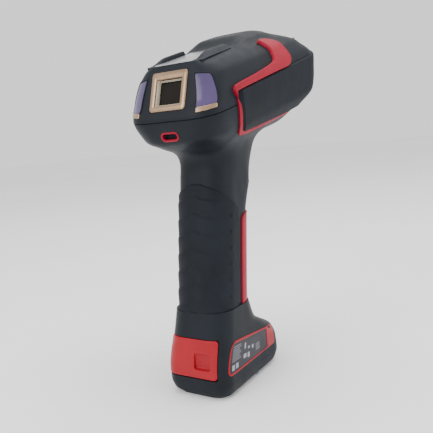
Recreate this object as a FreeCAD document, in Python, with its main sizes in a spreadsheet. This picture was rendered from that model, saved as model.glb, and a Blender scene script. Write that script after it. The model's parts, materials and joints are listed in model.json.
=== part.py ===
"""Rugged cordless pistol-grip barcode scanner, as an assembly of separate pieces.

Millimetres, +X towards what is scanned, +Y to the user's left, +Z up.  The origin is on the
flat underside of the foot.  Three frames carry the pieces: the foot frame is the model's own,
the handle frame leans forwards on the foot, and the head frame is pitched up on the handle,
with its zero level at the seam between the upper housing and the lower one.
"""
import FreeCAD, Part
import math
import os
import Sketcher

SIZES = {
    # attitude of the three frames
    "handle_lean": 9.0, "head_pitch": 15.0,
    "handle_x": -7.0, "handle_z": 90.0, "head_x": -40.2, "head_z": 140.7,
    # walls, skins and clearances
    "shell_wall": 2.2, "base_wall": 2.5, "skin": 1.6, "grip_skin": 1.2, "strip_skin": 0.8,
    "moving_gap": 0.5, "running_gap": 0.05, "reach": 60.0,
    # head outline at the seam, and its top and belly
    "head_length": 112.0, "rear_flat": 13.0, "rear_corner": 14.0, "nose_flat": 20.0,
    "nose_corner": 16.0, "head_top": 24.0, "head_belly": 23.5, "rear_slope": 0.65,
    "nose_slope": 0.33, "dome_rise": 4.0,
    # handle outline
    "grip_rear": 15.6, "grip_front": 16.6, "grip_flat": 3.6, "grip_corner": 12.0,
    "tube_end": 58.0, "neck_top": 54.0,
    # base
    "foot_rear": 36.0, "foot_front": 32.0, "foot_half": 18.8, "foot_corner": 7.5,
    "foot_nose_corner": 14.0, "base_top": 44.0, "plate_thick": 2.5,
    # rear display
    "bezel_half": 10.4, "bezel_low": 5.4, "bezel_high": 25.2, "bezel_frame": 2.3,
    "bezel_depth": 2.6, "bezel_proud": 0.9, "liner_frame": 1.7, "display_half": 6.1,
    # scan window
    "window_half": 21.0, "window_low": -10.0, "window_high": 15.0, "window_thick": 2.0,
    "window_lip": 1.5,
    # trigger
    "trigger_half": 7.5, "trigger_pin_r": 1.5, "trigger_pin_x": 15.0, "trigger_pin_z": 33.0,
    "trigger_boss": 3.4, "plunger_r": 1.4, "plunger_z": 14.0,
    # battery
    "pack_rear": 8.0, "pack_front": 11.8, "pack_half": 10.4, "pack_wall": 1.0, "pack_top": 0.0,
    "cell_r": 8.8, "cell_length": 65.0, "cap_low": 1.0, "cap_thick": 4.0, "well_gap": 1.0,
    # battery latch
    "latch_low": 11.8, "latch_high": 29.3, "latch_front": -29.0, "latch_right": 10.2,
    "latch_pin_x": -31.2, "latch_pin_z": 13.0, "latch_pin_r": 1.0, "latch_sweep": 1.4,
    # electronics
    "board_level": -4.0, "board_thick": 1.6, "board_half": 20.0, "board_rear": 22.0,
    "board_front": 82.0, "weight_r": 2.7, "motor_shaft_r": 0.5, "screw_r": 1.2,
    "screw_head_r": 2.2, "post_r": 2.5,
    # label recess on the foot's flanks
    "label_rear": -32.5, "label_rear_left": -27.9, "label_front": 16.0, "label_low": 12.4,
    "label_high": 28.4, "label_drop": 4.8, "label_rim": 1.1, "label_end": 5.0,
}

doc = FreeCAD.newDocument("scanner")
sheet = doc.addObject("Spreadsheet::Sheet", "Sizes")
for row_number, (size_name, size_value) in enumerate(SIZES.items(), start=1):
    sheet.set("A%d" % row_number, size_name)
    sheet.set("B%d" % row_number, str(size_value))
    sheet.setAlias("B%d" % row_number, size_name)
doc.recompute()


class Size:
    """A length with its formula in the sheet's words and the number that it comes to."""

    def __init__(self, formula, value):
        self.formula = formula
        self.value = value

    def __add__(self, other):
        other = as_size(other)
        return Size("(%s + %s)" % (self.formula, other.formula), self.value + other.value)

    def __sub__(self, other):
        other = as_size(other)
        return Size("(%s - %s)" % (self.formula, other.formula), self.value - other.value)

    def __mul__(self, other):
        other = as_size(other)
        return Size("(%s * %s)" % (self.formula, other.formula), self.value * other.value)

    def __neg__(self):
        return Size("(0 - %s)" % self.formula, -self.value)

    __radd__ = __add__
    __rmul__ = __mul__


def as_size(number):
    """Return a Size for a plain number, and a Size unchanged."""
    return number if isinstance(number, Size) else Size("%.6g" % number, float(number))


def size(name):
    """Return the named cell of the sheet as a Size."""
    return Size("Sizes.%s" % name, float(sheet.get(name)))


def bind(thing, prop, length):
    """Bind one property of a document object to a Size."""
    thing.setExpression(prop, as_size(length).formula)


ROW = None
HANDLE = (size("handle_x"), size("handle_z"), size("handle_lean"), 1)
HEAD = (size("head_x"), size("head_z"), size("head_pitch"), -1)


def seat(thing, frame):
    """Place an object in a frame: a shift in X and Z and a turn about the Y axis."""
    if frame is None:
        return thing
    shift_x, shift_z, angle, sense = frame
    turn = FreeCAD.Rotation(FreeCAD.Vector(0, sense, 0), angle.value)
    thing.Placement = FreeCAD.Placement(FreeCAD.Vector(shift_x.value, 0, shift_z.value), turn)
    bind(thing, "Placement.Base.x", shift_x)
    bind(thing, "Placement.Base.z", shift_z)
    bind(thing, "Placement.Rotation.Angle", angle)
    return thing


# ---------------------------------------------------------------- primitives and booleans

def box(name, low, high):
    """Return a box between two corners, each three lengths."""
    solid = doc.addObject("Part::Box", name)
    for prop, axis, start, end in zip(("Length", "Width", "Height"), "xyz", low, high):
        bind(solid, prop, as_size(end) - start)
        bind(solid, "Placement.Base.%s" % axis, start)
    return solid


TURNS = {
    "x": FreeCAD.Rotation(FreeCAD.Vector(0, 1, 0), 90),
    "y": FreeCAD.Rotation(FreeCAD.Vector(1, 0, 0), -90),
    "z": FreeCAD.Rotation(),
}


def rod(name, radius, length, start, axis="z"):
    """Return a cylinder that starts at a point and runs along a positive axis."""
    solid = doc.addObject("Part::Cylinder", name)
    solid.Placement = FreeCAD.Placement(FreeCAD.Vector(), TURNS[axis])
    bind(solid, "Radius", radius)
    bind(solid, "Height", length)
    for letter, value in zip("xyz", start):
        bind(solid, "Placement.Base.%s" % letter, value)
    return solid


def fuse(name, pieces):
    """Return the union of several objects."""
    solid = doc.addObject("Part::MultiFuse", name)
    solid.Shapes = pieces
    return solid


def cut(name, base, tool):
    """Return one object less another."""
    solid = doc.addObject("Part::Cut", name)
    solid.Base = base
    solid.Tool = tool
    return solid


def common(name, first, second):
    """Return what two objects share."""
    solid = doc.addObject("Part::Common", name)
    solid.Base = first
    solid.Tool = second
    return solid


def mirrored(name, source):
    """Return the mirror image of an object in the XZ plane."""
    solid = doc.addObject("Part::Mirroring", name)
    solid.Source = source
    solid.Normal = (0, 1, 0)
    return solid


def group(name, pieces, frame=ROW):
    """Return separate objects bound together and seated in a frame."""
    solid = doc.addObject("Part::Compound", name)
    solid.Links = pieces
    return seat(solid, frame)


nodes = []


def node(label, thing):
    """Name a finished sub-part: its Label is its node name and its file name."""
    thing.Label = label
    nodes.append(thing)
    return thing


# ---------------------------------------------------------------- sketches

def plane(body, role):
    """Return one of a body's own origin planes."""
    return [item for item in body.Origin.OriginFeatures if item.Role == role][0]


def new_sketch(body, name, role, level):
    """Return an empty sketch on a body's origin plane, lifted along the plane's normal."""
    sketch = body.newObject("Sketcher::SketchObject", name)
    sketch.AttachmentSupport = [(plane(body, role), "")]
    sketch.MapMode = "FlatFace"
    sketch.AttachmentOffset = FreeCAD.Placement(FreeCAD.Vector(0, 0, as_size(level).value),
                                                FreeCAD.Rotation())
    bind(sketch, ".AttachmentOffset.Base.z", level)
    return sketch


def measure(sketch, kind, where, length):
    """Add one dimension to a sketch and bind it."""
    length = as_size(length)
    index = sketch.addConstraint(Sketcher.Constraint(kind, *where, length.value))
    bind(sketch, "Constraints[%d]" % index, length)


def outline(body, name, level, shape, role="XY_Plane"):
    """Sketch a tapered outline with four round corners, symmetric about its first axis.

    shape is rear, front, half of the rear flat, half of the front flat, rear corner radius and
    front corner radius.  The two sides are the common tangents of the rear and front corners.
    """
    sketch = new_sketch(body, name, role, level)
    rear, front, flat_a, flat_b, round_a, round_b = [as_size(entry) for entry in shape]
    centre_a = FreeCAD.Vector(rear.value + round_a.value, flat_a.value, 0)
    centre_b = FreeCAD.Vector(front.value - round_b.value, flat_b.value, 0)
    run = centre_b - centre_a
    tilt = math.atan2(run.y, run.x) + math.acos((round_a.value - round_b.value) / run.Length)
    normal = FreeCAD.Vector(math.cos(tilt), math.sin(tilt), 0)
    up = FreeCAD.Vector(0, 0, 1)

    def flipped(point):
        return FreeCAD.Vector(point.x, -point.y, 0)

    def corner(centre, radius, start, end):
        return Part.ArcOfCircle(Part.Circle(centre, up, radius.value), start, end)

    side_a = centre_a + normal * round_a.value
    side_b = centre_b + normal * round_b.value
    rear_top = FreeCAD.Vector(rear.value, flat_a.value, 0)
    front_top = FreeCAD.Vector(front.value, flat_b.value, 0)
    sketch.addGeometry([
        Part.LineSegment(flipped(rear_top), rear_top),
        corner(centre_a, round_a, tilt, math.pi),
        Part.LineSegment(side_a, side_b),
        corner(centre_b, round_b, 0, tilt),
        Part.LineSegment(flipped(front_top), front_top),
        corner(flipped(centre_b), round_b, -tilt, 0),
        Part.LineSegment(flipped(side_a), flipped(side_b)),
        corner(flipped(centre_a), round_a, math.pi, 2 * math.pi - tilt),
    ])
    joins = ((0, 2, 1, 2), (1, 1, 2, 1), (2, 2, 3, 2), (3, 1, 4, 2),
             (4, 1, 5, 2), (5, 1, 6, 2), (6, 1, 7, 2), (7, 1, 0, 1))
    for join in joins:
        sketch.addConstraint(Sketcher.Constraint("Tangent", *join))
    for flat in (0, 4):
        sketch.addConstraint(Sketcher.Constraint("Symmetric", flat, 1, flat, 2, -1))
    for pair in ((1, 7), (3, 5)):
        sketch.addConstraint(Sketcher.Constraint("Equal", *pair))
    measure(sketch, "DistanceX", (-1, 1, 0, 1), rear)
    measure(sketch, "DistanceX", (-1, 1, 4, 1), front)
    measure(sketch, "DistanceY", (0, 1, 0, 2), 2 * flat_a)
    measure(sketch, "DistanceY", (4, 1, 4, 2), 2 * flat_b)
    measure(sketch, "Radius", (1,), round_a)
    measure(sketch, "Radius", (3,), round_b)
    return sketch


def polygon(body, name, points, role="XZ_Plane", level=0):
    """Sketch a closed polygon whose corners are pairs of lengths."""
    sketch = new_sketch(body, name, role, level)
    corners = [(as_size(first), as_size(second)) for first, second in points]
    vectors = [FreeCAD.Vector(first.value, second.value, 0) for first, second in corners]
    count = len(vectors)
    for index in range(count):
        sketch.addGeometry(Part.LineSegment(vectors[index], vectors[(index + 1) % count]))
    for index in range(count):
        joined = (index, 2, (index + 1) % count, 1)
        sketch.addConstraint(Sketcher.Constraint("Coincident", *joined))
    for index, (first, second) in enumerate(corners):
        measure(sketch, "DistanceX", (-1, 1, index, 1), first)
        measure(sketch, "DistanceY", (-1, 1, index, 1), second)
    return sketch


def loft(name, sections, inset=0, frame=ROW):
    """Return a body lofted through stacked outlines, each moved inwards by the inset.

    A section is a level and an outline shape.  Moving a wall inwards keeps the corner centres
    and takes the inset off the corner radii, so an inset form is parallel to the outer one.
    """
    body = doc.addObject("PartDesign::Body", name)
    sketches = []
    for index, (level, shape) in enumerate(sections):
        rear, front, flat_a, flat_b, round_a, round_b = shape
        moved = (rear + inset, front - inset, flat_a, flat_b, round_a - inset, round_b - inset)
        if index == 0:
            level = level + inset
        if index == len(sections) - 1:
            level = level - inset
        sketches.append(outline(body, "%s_section_%d" % (name, index), level, moved))
    feature = body.newObject("PartDesign::AdditiveLoft", "%s_loft" % name)
    feature.Profile = sketches[0]
    feature.Sections = sketches[1:]
    feature.Ruled = True
    return seat(body, frame)


def slab(name, points, half_width, frame=ROW, low=None):
    """Return a plate with a side profile in XZ, padded evenly about Y or from a low side.

    The sketch plane's normal is -Y, so a plate between two values of Y starts at its far side.
    """
    body = doc.addObject("PartDesign::Body", name)
    half_width = as_size(half_width)
    sketch = polygon(body, "%s_profile" % name, points, level=0 if low is None else -half_width)
    pad = body.newObject("PartDesign::Pad", "%s_pad" % name)
    pad.Profile = sketch
    if low is None:
        pad.Midplane = True
        bind(pad, "Length", 2 * half_width)
    else:
        bind(pad, "Length", half_width - low)
    return seat(body, frame)


# ---------------------------------------------------------------- outer forms

wall = size("shell_wall")
skin = size("skin")
reach = size("reach")
length = size("head_length")
rear_flat = size("rear_flat")
rear_corner = size("rear_corner")
nose_flat = size("nose_flat")
nose_corner = size("nose_corner")
rear_slope = size("rear_slope")
nose_slope = size("nose_slope")
head_top = size("head_top")
head_belly = size("head_belly")


def head_section(level, rear_back, nose_back, narrow_a, narrow_b, sharp_a=0, sharp_b=0):
    """Return a head section, given how far it draws back from the outline at the seam."""
    return (as_size(level), (as_size(rear_back), length - nose_back, rear_flat - narrow_a,
                             nose_flat - narrow_b, rear_corner - sharp_a, nose_corner - sharp_b))


head_sections = [
    head_section(-head_belly, 19, 27, 9, 10, 2, 3),
    head_section(-16, 7.5, 13, 8, 5, -4, 1),
    head_section(-10, 0.6, 3.5, 5, 1, -3),
    head_section(0, 0, 0, 0, 0),
    head_section(8, rear_slope * 8, nose_slope * -8, 0, 0),
    head_section(head_top - 8, rear_slope * (head_top - 8), nose_slope * -14, 0.5, 1, 1, 1),
    head_section(head_top - 3, rear_slope * (head_top - 3), -3, 1, 4, 4.5, 4),
    head_section(head_top, rear_slope * head_top, 9, 2, 9, 9, 6),
]
head_form = loft("head_form", head_sections, frame=HEAD)
head_hollow = loft("head_hollow", head_sections, inset=wall, frame=HEAD)
head_skin = loft("head_skin", head_sections, inset=-skin, frame=HEAD)

dome_sections = [
    (head_top - 2, (as_size(42), length - 4, nose_flat - 8, nose_flat - 6, as_size(12),
                    as_size(12))),
    (head_top + 2, (as_size(46), length - 10, nose_flat - 10, nose_flat - 9, as_size(10),
                    as_size(10))),
    (head_top + size("dome_rise"), (as_size(54), length - 20, nose_flat - 13, nose_flat - 12,
                                    as_size(8), as_size(8))),
]
dome_form = loft("dome_form", dome_sections, frame=HEAD)

grip_rear = size("grip_rear")
grip_front = size("grip_front")
grip_flat = size("grip_flat")
grip_corner = size("grip_corner")


def grip_section(level, rear_out, front_out, wider=0):
    """Return a handle section, given how far it stands out from the plain grip."""
    return (as_size(level), (-(grip_rear + rear_out), grip_front + front_out, grip_flat + wider,
                             grip_flat + 1.4 + wider, grip_corner, grip_corner - 1.5))


grip_sections = [
    grip_section(-size("tube_end"), -0.4, 1.4),
    grip_section(-30, 0, 0.2),
    grip_section(0, 0, 0),
    grip_section(18, 0, 3.5),
    grip_section(36, 0, 6.5, 1),
    grip_section(size("neck_top"), -5.6, 10.4, 2),
]
grip_form = loft("grip_form", grip_sections, frame=HANDLE)
grip_hollow = loft("grip_hollow", [grip_section(-size("tube_end") - 8, -0.4, 1.4)]
                   + grip_sections[1:], inset=wall, frame=HANDLE)
grip_cover = loft("grip_cover", grip_sections, inset=-size("grip_skin"), frame=HANDLE)
strip_cover = loft("strip_cover", grip_sections, inset=-size("strip_skin"), frame=HANDLE)

foot_rear = size("foot_rear")
foot_front = size("foot_front")
foot_half = size("foot_half")
foot_corner = size("foot_corner")
foot_nose = size("foot_nose_corner")


def foot_section(level, rear_in, front_in, narrow, rear_round=0, nose_round=0):
    """Return a foot section, given how far it draws in from the foot's widest outline."""
    round_a = foot_corner + rear_round
    round_b = foot_nose - nose_round
    return (as_size(level), (-foot_rear + rear_in, foot_front - front_in,
                             foot_half - narrow - round_a, foot_half - narrow - round_b,
                             round_a, round_b))


foot_sections = [
    foot_section(0, 3.5, 5, 4),
    foot_section(3, 1.0, 1.5, 1),
    foot_section(8, 0, 0, 0),
    foot_section(15, 0.3, 0.6, 0.1),
    foot_section(22, 1.1, 4.5, 0.4, 1),
    foot_section(27, 1.8, 13.5, 0.9, 2, 1),
    foot_section(33, 2.8, 23.0, 1.4, 3, 2),
    foot_section(size("base_top"), 4.7, 27.8, 2.0, 4, 2.7),
]
foot_form = loft("foot_form", foot_sections)
open_floor = foot_section(-size("base_wall"), 3.5, 5, 4)
foot_hollow = loft("foot_hollow", [open_floor] + foot_sections[1:], inset=size("base_wall"))

# ---------------------------------------------------------------- tools shared by pieces

seam_low = group("below_seam", [box("below_seam_box", (-reach, -reach, -reach),
                                    (3 * reach, reach, 0))], HEAD)
seam_high = group("above_seam", [box("above_seam_box", (-reach, -reach, 0),
                                     (3 * reach, reach, reach))], HEAD)


def head_tool(name, pieces):
    """Return local pieces as one tool in the head frame."""
    return seat(fuse(name, pieces), HEAD) if len(pieces) > 1 else group(name, pieces, HEAD)


def slanted(name, low, high, slope, foot_x):
    """Return a box turned about Y so that its third axis runs up a slanted end face."""
    solid = box(name, low, high)
    angle = Size("atan(%s)" % slope.formula, math.degrees(math.atan(slope.value)))
    holder = doc.addObject("Part::Compound", "%s_slant" % name)
    holder.Links = [solid]
    holder.Placement = FreeCAD.Placement(FreeCAD.Vector(as_size(foot_x).value, 0, 0),
                                         FreeCAD.Rotation(FreeCAD.Vector(0, 1, 0), angle.value))
    bind(holder, "Placement.Base.x", foot_x)
    bind(holder, "Placement.Rotation.Angle", angle)
    return holder


def rear_box(name, low, high):
    """Return a box on the slanted rear face, in the head frame: depth, width, way up."""
    return group("%s_seated" % name, [slanted(name, low, high, rear_slope, 0)], HEAD)


def nose_box(name, low, high):
    """Return a box on the slanted nose face, in the head frame: depth, width, way up."""
    return group("%s_seated" % name, [slanted(name, low, high, nose_slope, length)], HEAD)


# ---------------------------------------------------------------- rear display

bezel_half = size("bezel_half")
bezel_low = size("bezel_low")
bezel_high = size("bezel_high")
bezel_frame = size("bezel_frame")
bezel_depth = size("bezel_depth")
bezel_proud = size("bezel_proud")
display_half = size("display_half")
liner_frame = size("liner_frame")
bezel_block = rear_box("bezel_block", (-bezel_proud, -bezel_half, bezel_low),
                       (bezel_depth, bezel_half, bezel_high))
liner_low = bezel_low + bezel_frame
liner_high = bezel_high - bezel_frame - 1
liner_half = bezel_half - bezel_frame
liner_block = rear_box("liner_block", (-bezel_proud - 2, -liner_half, liner_low),
                       (bezel_depth + 2, liner_half, liner_high))
liner_solid = rear_box("liner_solid", (-bezel_proud + 0.5, -liner_half, liner_low),
                       (bezel_depth, liner_half, liner_high))
display_block = rear_box("display_block",
                         (-bezel_proud - 2, -display_half, liner_low + liner_frame),
                         (bezel_depth + 2, display_half, liner_high - liner_frame))
display_solid = rear_box("display_solid",
                         (-bezel_proud + 1.1, -display_half, liner_low + liner_frame),
                         (bezel_depth, display_half, liner_high - liner_frame))
node("rear_bezel", cut("rear_bezel_ring", bezel_block, liner_block))
node("bezel_liner", cut("bezel_liner_ring", liner_solid, display_block))
node("status_window", display_solid)
status_board = rear_box("status_board_block", (bezel_depth, -bezel_half + 1, bezel_low + 1),
                        (bezel_depth + 1.2, bezel_half - 1, bezel_high - 4))
node("status_board", status_board)

# ---------------------------------------------------------------- indicator windows

window_low = size("bezel_low") + 0.4
indicator_right = rear_box("indicator_right_block", (-4, -reach, window_low + 0.6),
                           (13, -(rear_flat + 1.6), bezel_high - 3.5))
indicator_left = rear_box("indicator_left_block", (-4, rear_flat + 1.6, window_low + 0.6),
                          (13, reach, bezel_high - 3.5))

head_shell = cut("head_shell", head_form, head_hollow)
upper_shell = common("upper_shell", head_shell, seam_high)
node("indicator_window_right", common("indicator_right", upper_shell, indicator_right))
node("indicator_window_left", common("indicator_left", upper_shell, indicator_left))

# ---------------------------------------------------------------- top strip

strip_half = 11.2
strip_rear = 17.2
strip_front = 55.0
strip_block = head_tool("strip_block", [box("strip_recess", (strip_rear, -strip_half,
                        head_top - 1.4), (strip_front, strip_half, head_top + 5))])
strip_solid = head_tool("strip_solid", [box("strip_plate", (strip_rear, -strip_half,
                        head_top - 1.4), (strip_front, strip_half, head_top - 0.5))])
node("top_strip", strip_solid)

# ---------------------------------------------------------------- lanyard slot

slot_level = -7.3
slot_outer = head_tool("slot_outer", [
    box("slot_outer_bar", (-3, -3, slot_level - 2.4), (5, 3, slot_level + 2.4)),
    rod("slot_outer_left", 2.4, 8, (-3, 3, slot_level), "x"),
    rod("slot_outer_right", 2.4, 8, (-3, -3, slot_level), "x")])
slot_collar = head_tool("slot_collar", [
    box("slot_collar_bar", (-0.7, -3, slot_level - 2.4), (3.4, 3, slot_level + 2.4)),
    rod("slot_collar_left", 2.4, 4.1, (-0.7, 3, slot_level), "x"),
    rod("slot_collar_right", 2.4, 4.1, (-0.7, -3, slot_level), "x")])
slot_inner = head_tool("slot_inner", [
    box("slot_inner_bar", (-3, -3, slot_level - 1.3), (5, 3, slot_level + 1.3)),
    rod("slot_inner_left", 1.3, 8, (-3, 3, slot_level), "x"),
    rod("slot_inner_right", 1.3, 8, (-3, -3, slot_level), "x")])
node("lanyard_grommet", cut("lanyard_ring", slot_collar, slot_inner))

# ---------------------------------------------------------------- scan window and nose

win_half = size("window_half")
win_low = size("window_low")
win_high = size("window_high")
nose_opening = nose_box("nose_opening", (-12, -win_half, win_low), (8, win_half, win_high))
lip = size("window_lip")
glass_block = nose_box("glass_block", (-wall - size("window_thick"), -win_half - lip,
                       win_low - lip), (-wall, win_half + lip, win_high + lip))
node("scan_window", common("scan_window_glass", head_hollow, glass_block))

# ---------------------------------------------------------------- bumper and side trims

bumper_rear = 24.0
trim_line = 1.2
bumper_points = [(bumper_rear, -14.6), (72, -17.2), (96, -17.2), (length + 20, -17.2),
                 (length + 20, head_top - 2), (106, head_top - 2), (99, 10.0), (90, 7.2),
                 (bumper_rear, 6.2)]
trim_points = [(bumper_rear - trim_line, -15.8), (72, -18.4), (72, -17.2),
               (bumper_rear, -14.6), (bumper_rear, 6.2), (74.8, 7.0), (77.8, 10.3),
               (78.6, 15), (79.3, 21), (77, 24.5), (70, head_top + 4), (65.5, head_top + 4),
               (66.5, 22), (67.3, 20), (64.7, 14.6), (60.3, 11.8),
               (bumper_rear - trim_line, 9.1)]
bumper_block = slab("bumper_block", bumper_points, reach, HEAD)
trim_left = slab("trim_left_block", trim_points, reach, HEAD, low=19)
trim_right = mirrored("trim_right_block", trim_left)
seat(trim_left, HEAD)
skin_shell = cut("skin_shell", cut("skin_less_head", head_skin, head_form), dome_form)
node("side_trim_left", common("side_trim_left_band", skin_shell, trim_left))
node("side_trim_right", common("side_trim_right_band", skin_shell, trim_right))
bumper_wrap = common("bumper_wrap", skin_shell, bumper_block)
bumper_cut = cut("bumper_less_left", bumper_wrap, trim_left)
bumper_cut = cut("bumper_less_right", bumper_cut, trim_right)
node("nose_bumper", cut("nose_bumper_ring", bumper_cut, nose_opening))

# ---------------------------------------------------------------- screws and posts

post_r = size("post_r")
screw_r = size("screw_r")
screw_head_r = size("screw_head_r")
head_screw_places = ((84, 15, -16), (84, -15, -16), (13.5, 12, -13), (13.5, -12, -13))
screw_depth = 10
upper_posts = [rod("upper_post_%d" % index, post_r, head_top, (x, y, 0))
               for index, (x, y, seat_level) in enumerate(head_screw_places)]
lower_posts = [rod("lower_post_%d" % index, post_r, head_belly, (x, y, -head_belly))
               for index, (x, y, seat_level) in enumerate(head_screw_places)]
screw_holes = [rod("screw_hole_%d" % index, screw_r, 40, (x, y, -30))
               for index, (x, y, seat_level) in enumerate(head_screw_places)]
screw_sinks = [rod("screw_sink_%d" % index, screw_head_r + 0.2, 20, (x, y, seat_level - 20))
               for index, (x, y, seat_level) in enumerate(head_screw_places)]
screw_shafts = [rod("screw_shaft_%d" % index, screw_r, screw_depth - seat_level,
                    (x, y, seat_level))
                for index, (x, y, seat_level) in enumerate(head_screw_places)]
screw_heads = [rod("screw_head_%d" % index, screw_head_r, 1.8, (x, y, seat_level - 1.8))
               for index, (x, y, seat_level) in enumerate(head_screw_places)]
node("head_screws", head_tool("head_screw_set", screw_shafts + screw_heads))

board_level = size("board_level")
board_thick = size("board_thick")
board_places = ((27, 16), (27, -16), (77, 17), (77, -17))
board_posts = [rod("board_post_%d" % index, 2.4, board_level + head_belly,
                   (x, y, -head_belly)) for index, (x, y) in enumerate(board_places)]
board_holes = [rod("board_hole_%d" % index, 0.9, 9, (x, y, board_level - 7))
               for index, (x, y) in enumerate(board_places)]
board_shafts = [rod("board_screw_shaft_%d" % index, 0.9, 7 + board_thick,
                    (x, y, board_level - 7)) for index, (x, y) in enumerate(board_places)]
board_heads = [rod("board_screw_head_%d" % index, 1.7, 1.2, (x, y, board_level + board_thick))
               for index, (x, y) in enumerate(board_places)]
node("board_screws", head_tool("board_screw_set", board_shafts + board_heads))
board_hole_tool = head_tool("board_hole_tool", board_holes)

# ---------------------------------------------------------------- upper housing

upper_solid = fuse("upper_solid", [upper_shell, dome_form])
upper_posts_tool = common("upper_posts_tool", head_tool("upper_post_set", upper_posts),
                          head_form)
upper_full = fuse("upper_full", [upper_solid, upper_posts_tool])
upper_tools = fuse("upper_tools", [bezel_block, indicator_left, indicator_right, strip_block,
                                   nose_opening, head_tool("upper_holes", screw_holes)])
node("upper_housing", cut("upper_housing_shell", upper_full, upper_tools))

# ---------------------------------------------------------------- trigger

pin_x = size("trigger_pin_x")
pin_z = size("trigger_pin_z")
pin_r = size("trigger_pin_r")
boss = size("trigger_boss")
trigger_half = size("trigger_half")
moving_gap = size("moving_gap")
trigger_points = [(pin_x, pin_z + boss), (pin_x + 6, pin_z + 1.5), (26.2, 27), (27.6, 20),
                  (25.2, 12), (20.2, 7.2), (18.4, 8.6), (20.4, 13.5), (20.8, 21),
                  (18.2, 28), (pin_x, pin_z - boss)]
trigger_lever = slab("trigger_lever", trigger_points, trigger_half)
trigger_boss = rod("trigger_boss_rod", boss, 2 * trigger_half, (pin_x, -trigger_half, pin_z), "y")
spring_half = 3.2
trigger_bore = rod("trigger_bore", pin_r + size("running_gap"), 2 * trigger_half + 2,
                   (pin_x, -trigger_half - 1, pin_z), "y")
spring_room = rod("trigger_spring_room", boss + 0.6, 2 * spring_half + 0.6,
                  (pin_x, -spring_half - 0.3, pin_z), "y")
trigger_shape = cut("trigger_shape", fuse("trigger_solid", [trigger_lever, trigger_boss]),
                    fuse("trigger_tools", [trigger_bore, spring_room]))
node("trigger", group("trigger_seated", [trigger_shape], HANDLE))
pin_end = 13.6
trigger_pin_rod = rod("trigger_pin_rod", pin_r, 2 * pin_end, (pin_x, -pin_end, pin_z), "y")
node("trigger_pin", group("trigger_pin_seated", [trigger_pin_rod], HANDLE))
spring_coil = cut("trigger_spring_coil",
                  rod("trigger_spring_outer", pin_r + 1.1, 2 * spring_half,
                      (pin_x, -spring_half, pin_z), "y"),
                  rod("trigger_spring_inner", pin_r + 0.2, 2 * spring_half + 1,
                      (pin_x, -spring_half - 0.5, pin_z), "y"))
spring_leg = box("trigger_spring_leg", (pin_x - 7, spring_half - 0.7, pin_z + pin_r + 0.4),
                 (pin_x, spring_half, pin_z + pin_r + 1.0))
node("trigger_spring", group("trigger_spring_seated",
                             [fuse("trigger_spring_solid", [spring_coil, spring_leg])], HANDLE))
trigger_opening = group("trigger_opening_seated", [
    box("trigger_opening", (pin_x - 7, -trigger_half - moving_gap, 4.6),
        (pin_x + 20, trigger_half + moving_gap, pin_z + boss + moving_gap))], HANDLE)
pin_hole = group("trigger_pin_hole_seated", [
    rod("trigger_pin_hole", pin_r, 2 * pin_end, (pin_x, -pin_end, pin_z), "y")], HANDLE)

# ---------------------------------------------------------------- trigger switch

plunger_r = size("plunger_r")
plunger_z = size("plunger_z")
switch_front = 14.6
plunger_hole = rod("plunger_hole", plunger_r + size("running_gap"), 6,
                   (switch_front - 5, 0, plunger_z), "x")
switch_body = box("switch_body", (4, -4.5, plunger_z - 4), (switch_front, 4.5, plunger_z + 4))
node("trigger_switch", group("trigger_switch_seated",
                             [cut("switch_less_hole", switch_body, plunger_hole)], HANDLE))
plunger = rod("plunger_rod", plunger_r, 7.3, (switch_front - 1.9, 0, plunger_z), "x")
node("switch_plunger", group("plunger_seated", [plunger], HANDLE))

# ---------------------------------------------------------------- battery and its bay

pack_rear = size("pack_rear")
pack_front = size("pack_front")
pack_half = size("pack_half")
pack_wall = size("pack_wall")
pack_top = size("pack_top")
pack_low = -100
well_gap = size("well_gap")
cap_low = size("cap_low")
cap_high = cap_low + size("cap_thick")
cap_side = 0.6
above_cap = box("above_cap", (-reach, -reach, cap_high), (reach, reach, 3 * reach))
cap_slab = box("cap_slab", (-reach, -reach, cap_low), (reach, reach, cap_high))
case_outer = group("case_outer_seated", [box("case_outer", (-pack_rear, -pack_half, pack_low),
                                             (pack_front, pack_half, pack_top))], HANDLE)
case_inner = group("case_inner_seated", [
    box("case_inner", (-pack_rear + pack_wall, -pack_half + pack_wall, -size("cell_length") - 13),
        (pack_front - pack_wall, pack_half - pack_wall, pack_top - pack_wall))], HANDLE)
node("battery_case", cut("battery_case_shell", common("battery_case_solid", case_outer,
                                                      above_cap), case_inner))
cap_prism = group("cap_prism_seated", [
    box("cap_prism", (-pack_rear - cap_side, -pack_half - cap_side, pack_low),
        (pack_front + cap_side, pack_half + cap_side, pack_top))], HANDLE)
node("battery_cap", common("battery_cap_plate", cap_prism, cap_slab))
cell_x = (pack_front - pack_rear) * 0.5
cell = rod("cell_rod", size("cell_r"), size("cell_length"),
           (cell_x, 0, pack_top - pack_wall - size("cell_length") - 6))
node("battery_cell", group("cell_seated", [cell], HANDLE))
contact_places = (-6, -2, 2, 6)
pack_pads = [box("pack_pad_%d" % index, (0, y - 1.2, pack_top), (5, y + 1.2, pack_top + 0.4))
             for index, y in enumerate(contact_places)]
node("battery_contacts", group("pack_pads_seated", pack_pads, HANDLE))
battery_well = group("battery_well_seated", [
    box("battery_well", (-pack_rear - well_gap, -pack_half - well_gap, pack_low - 10),
        (pack_front + well_gap, pack_half + well_gap, pack_top + 0.8))], HANDLE)

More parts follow.
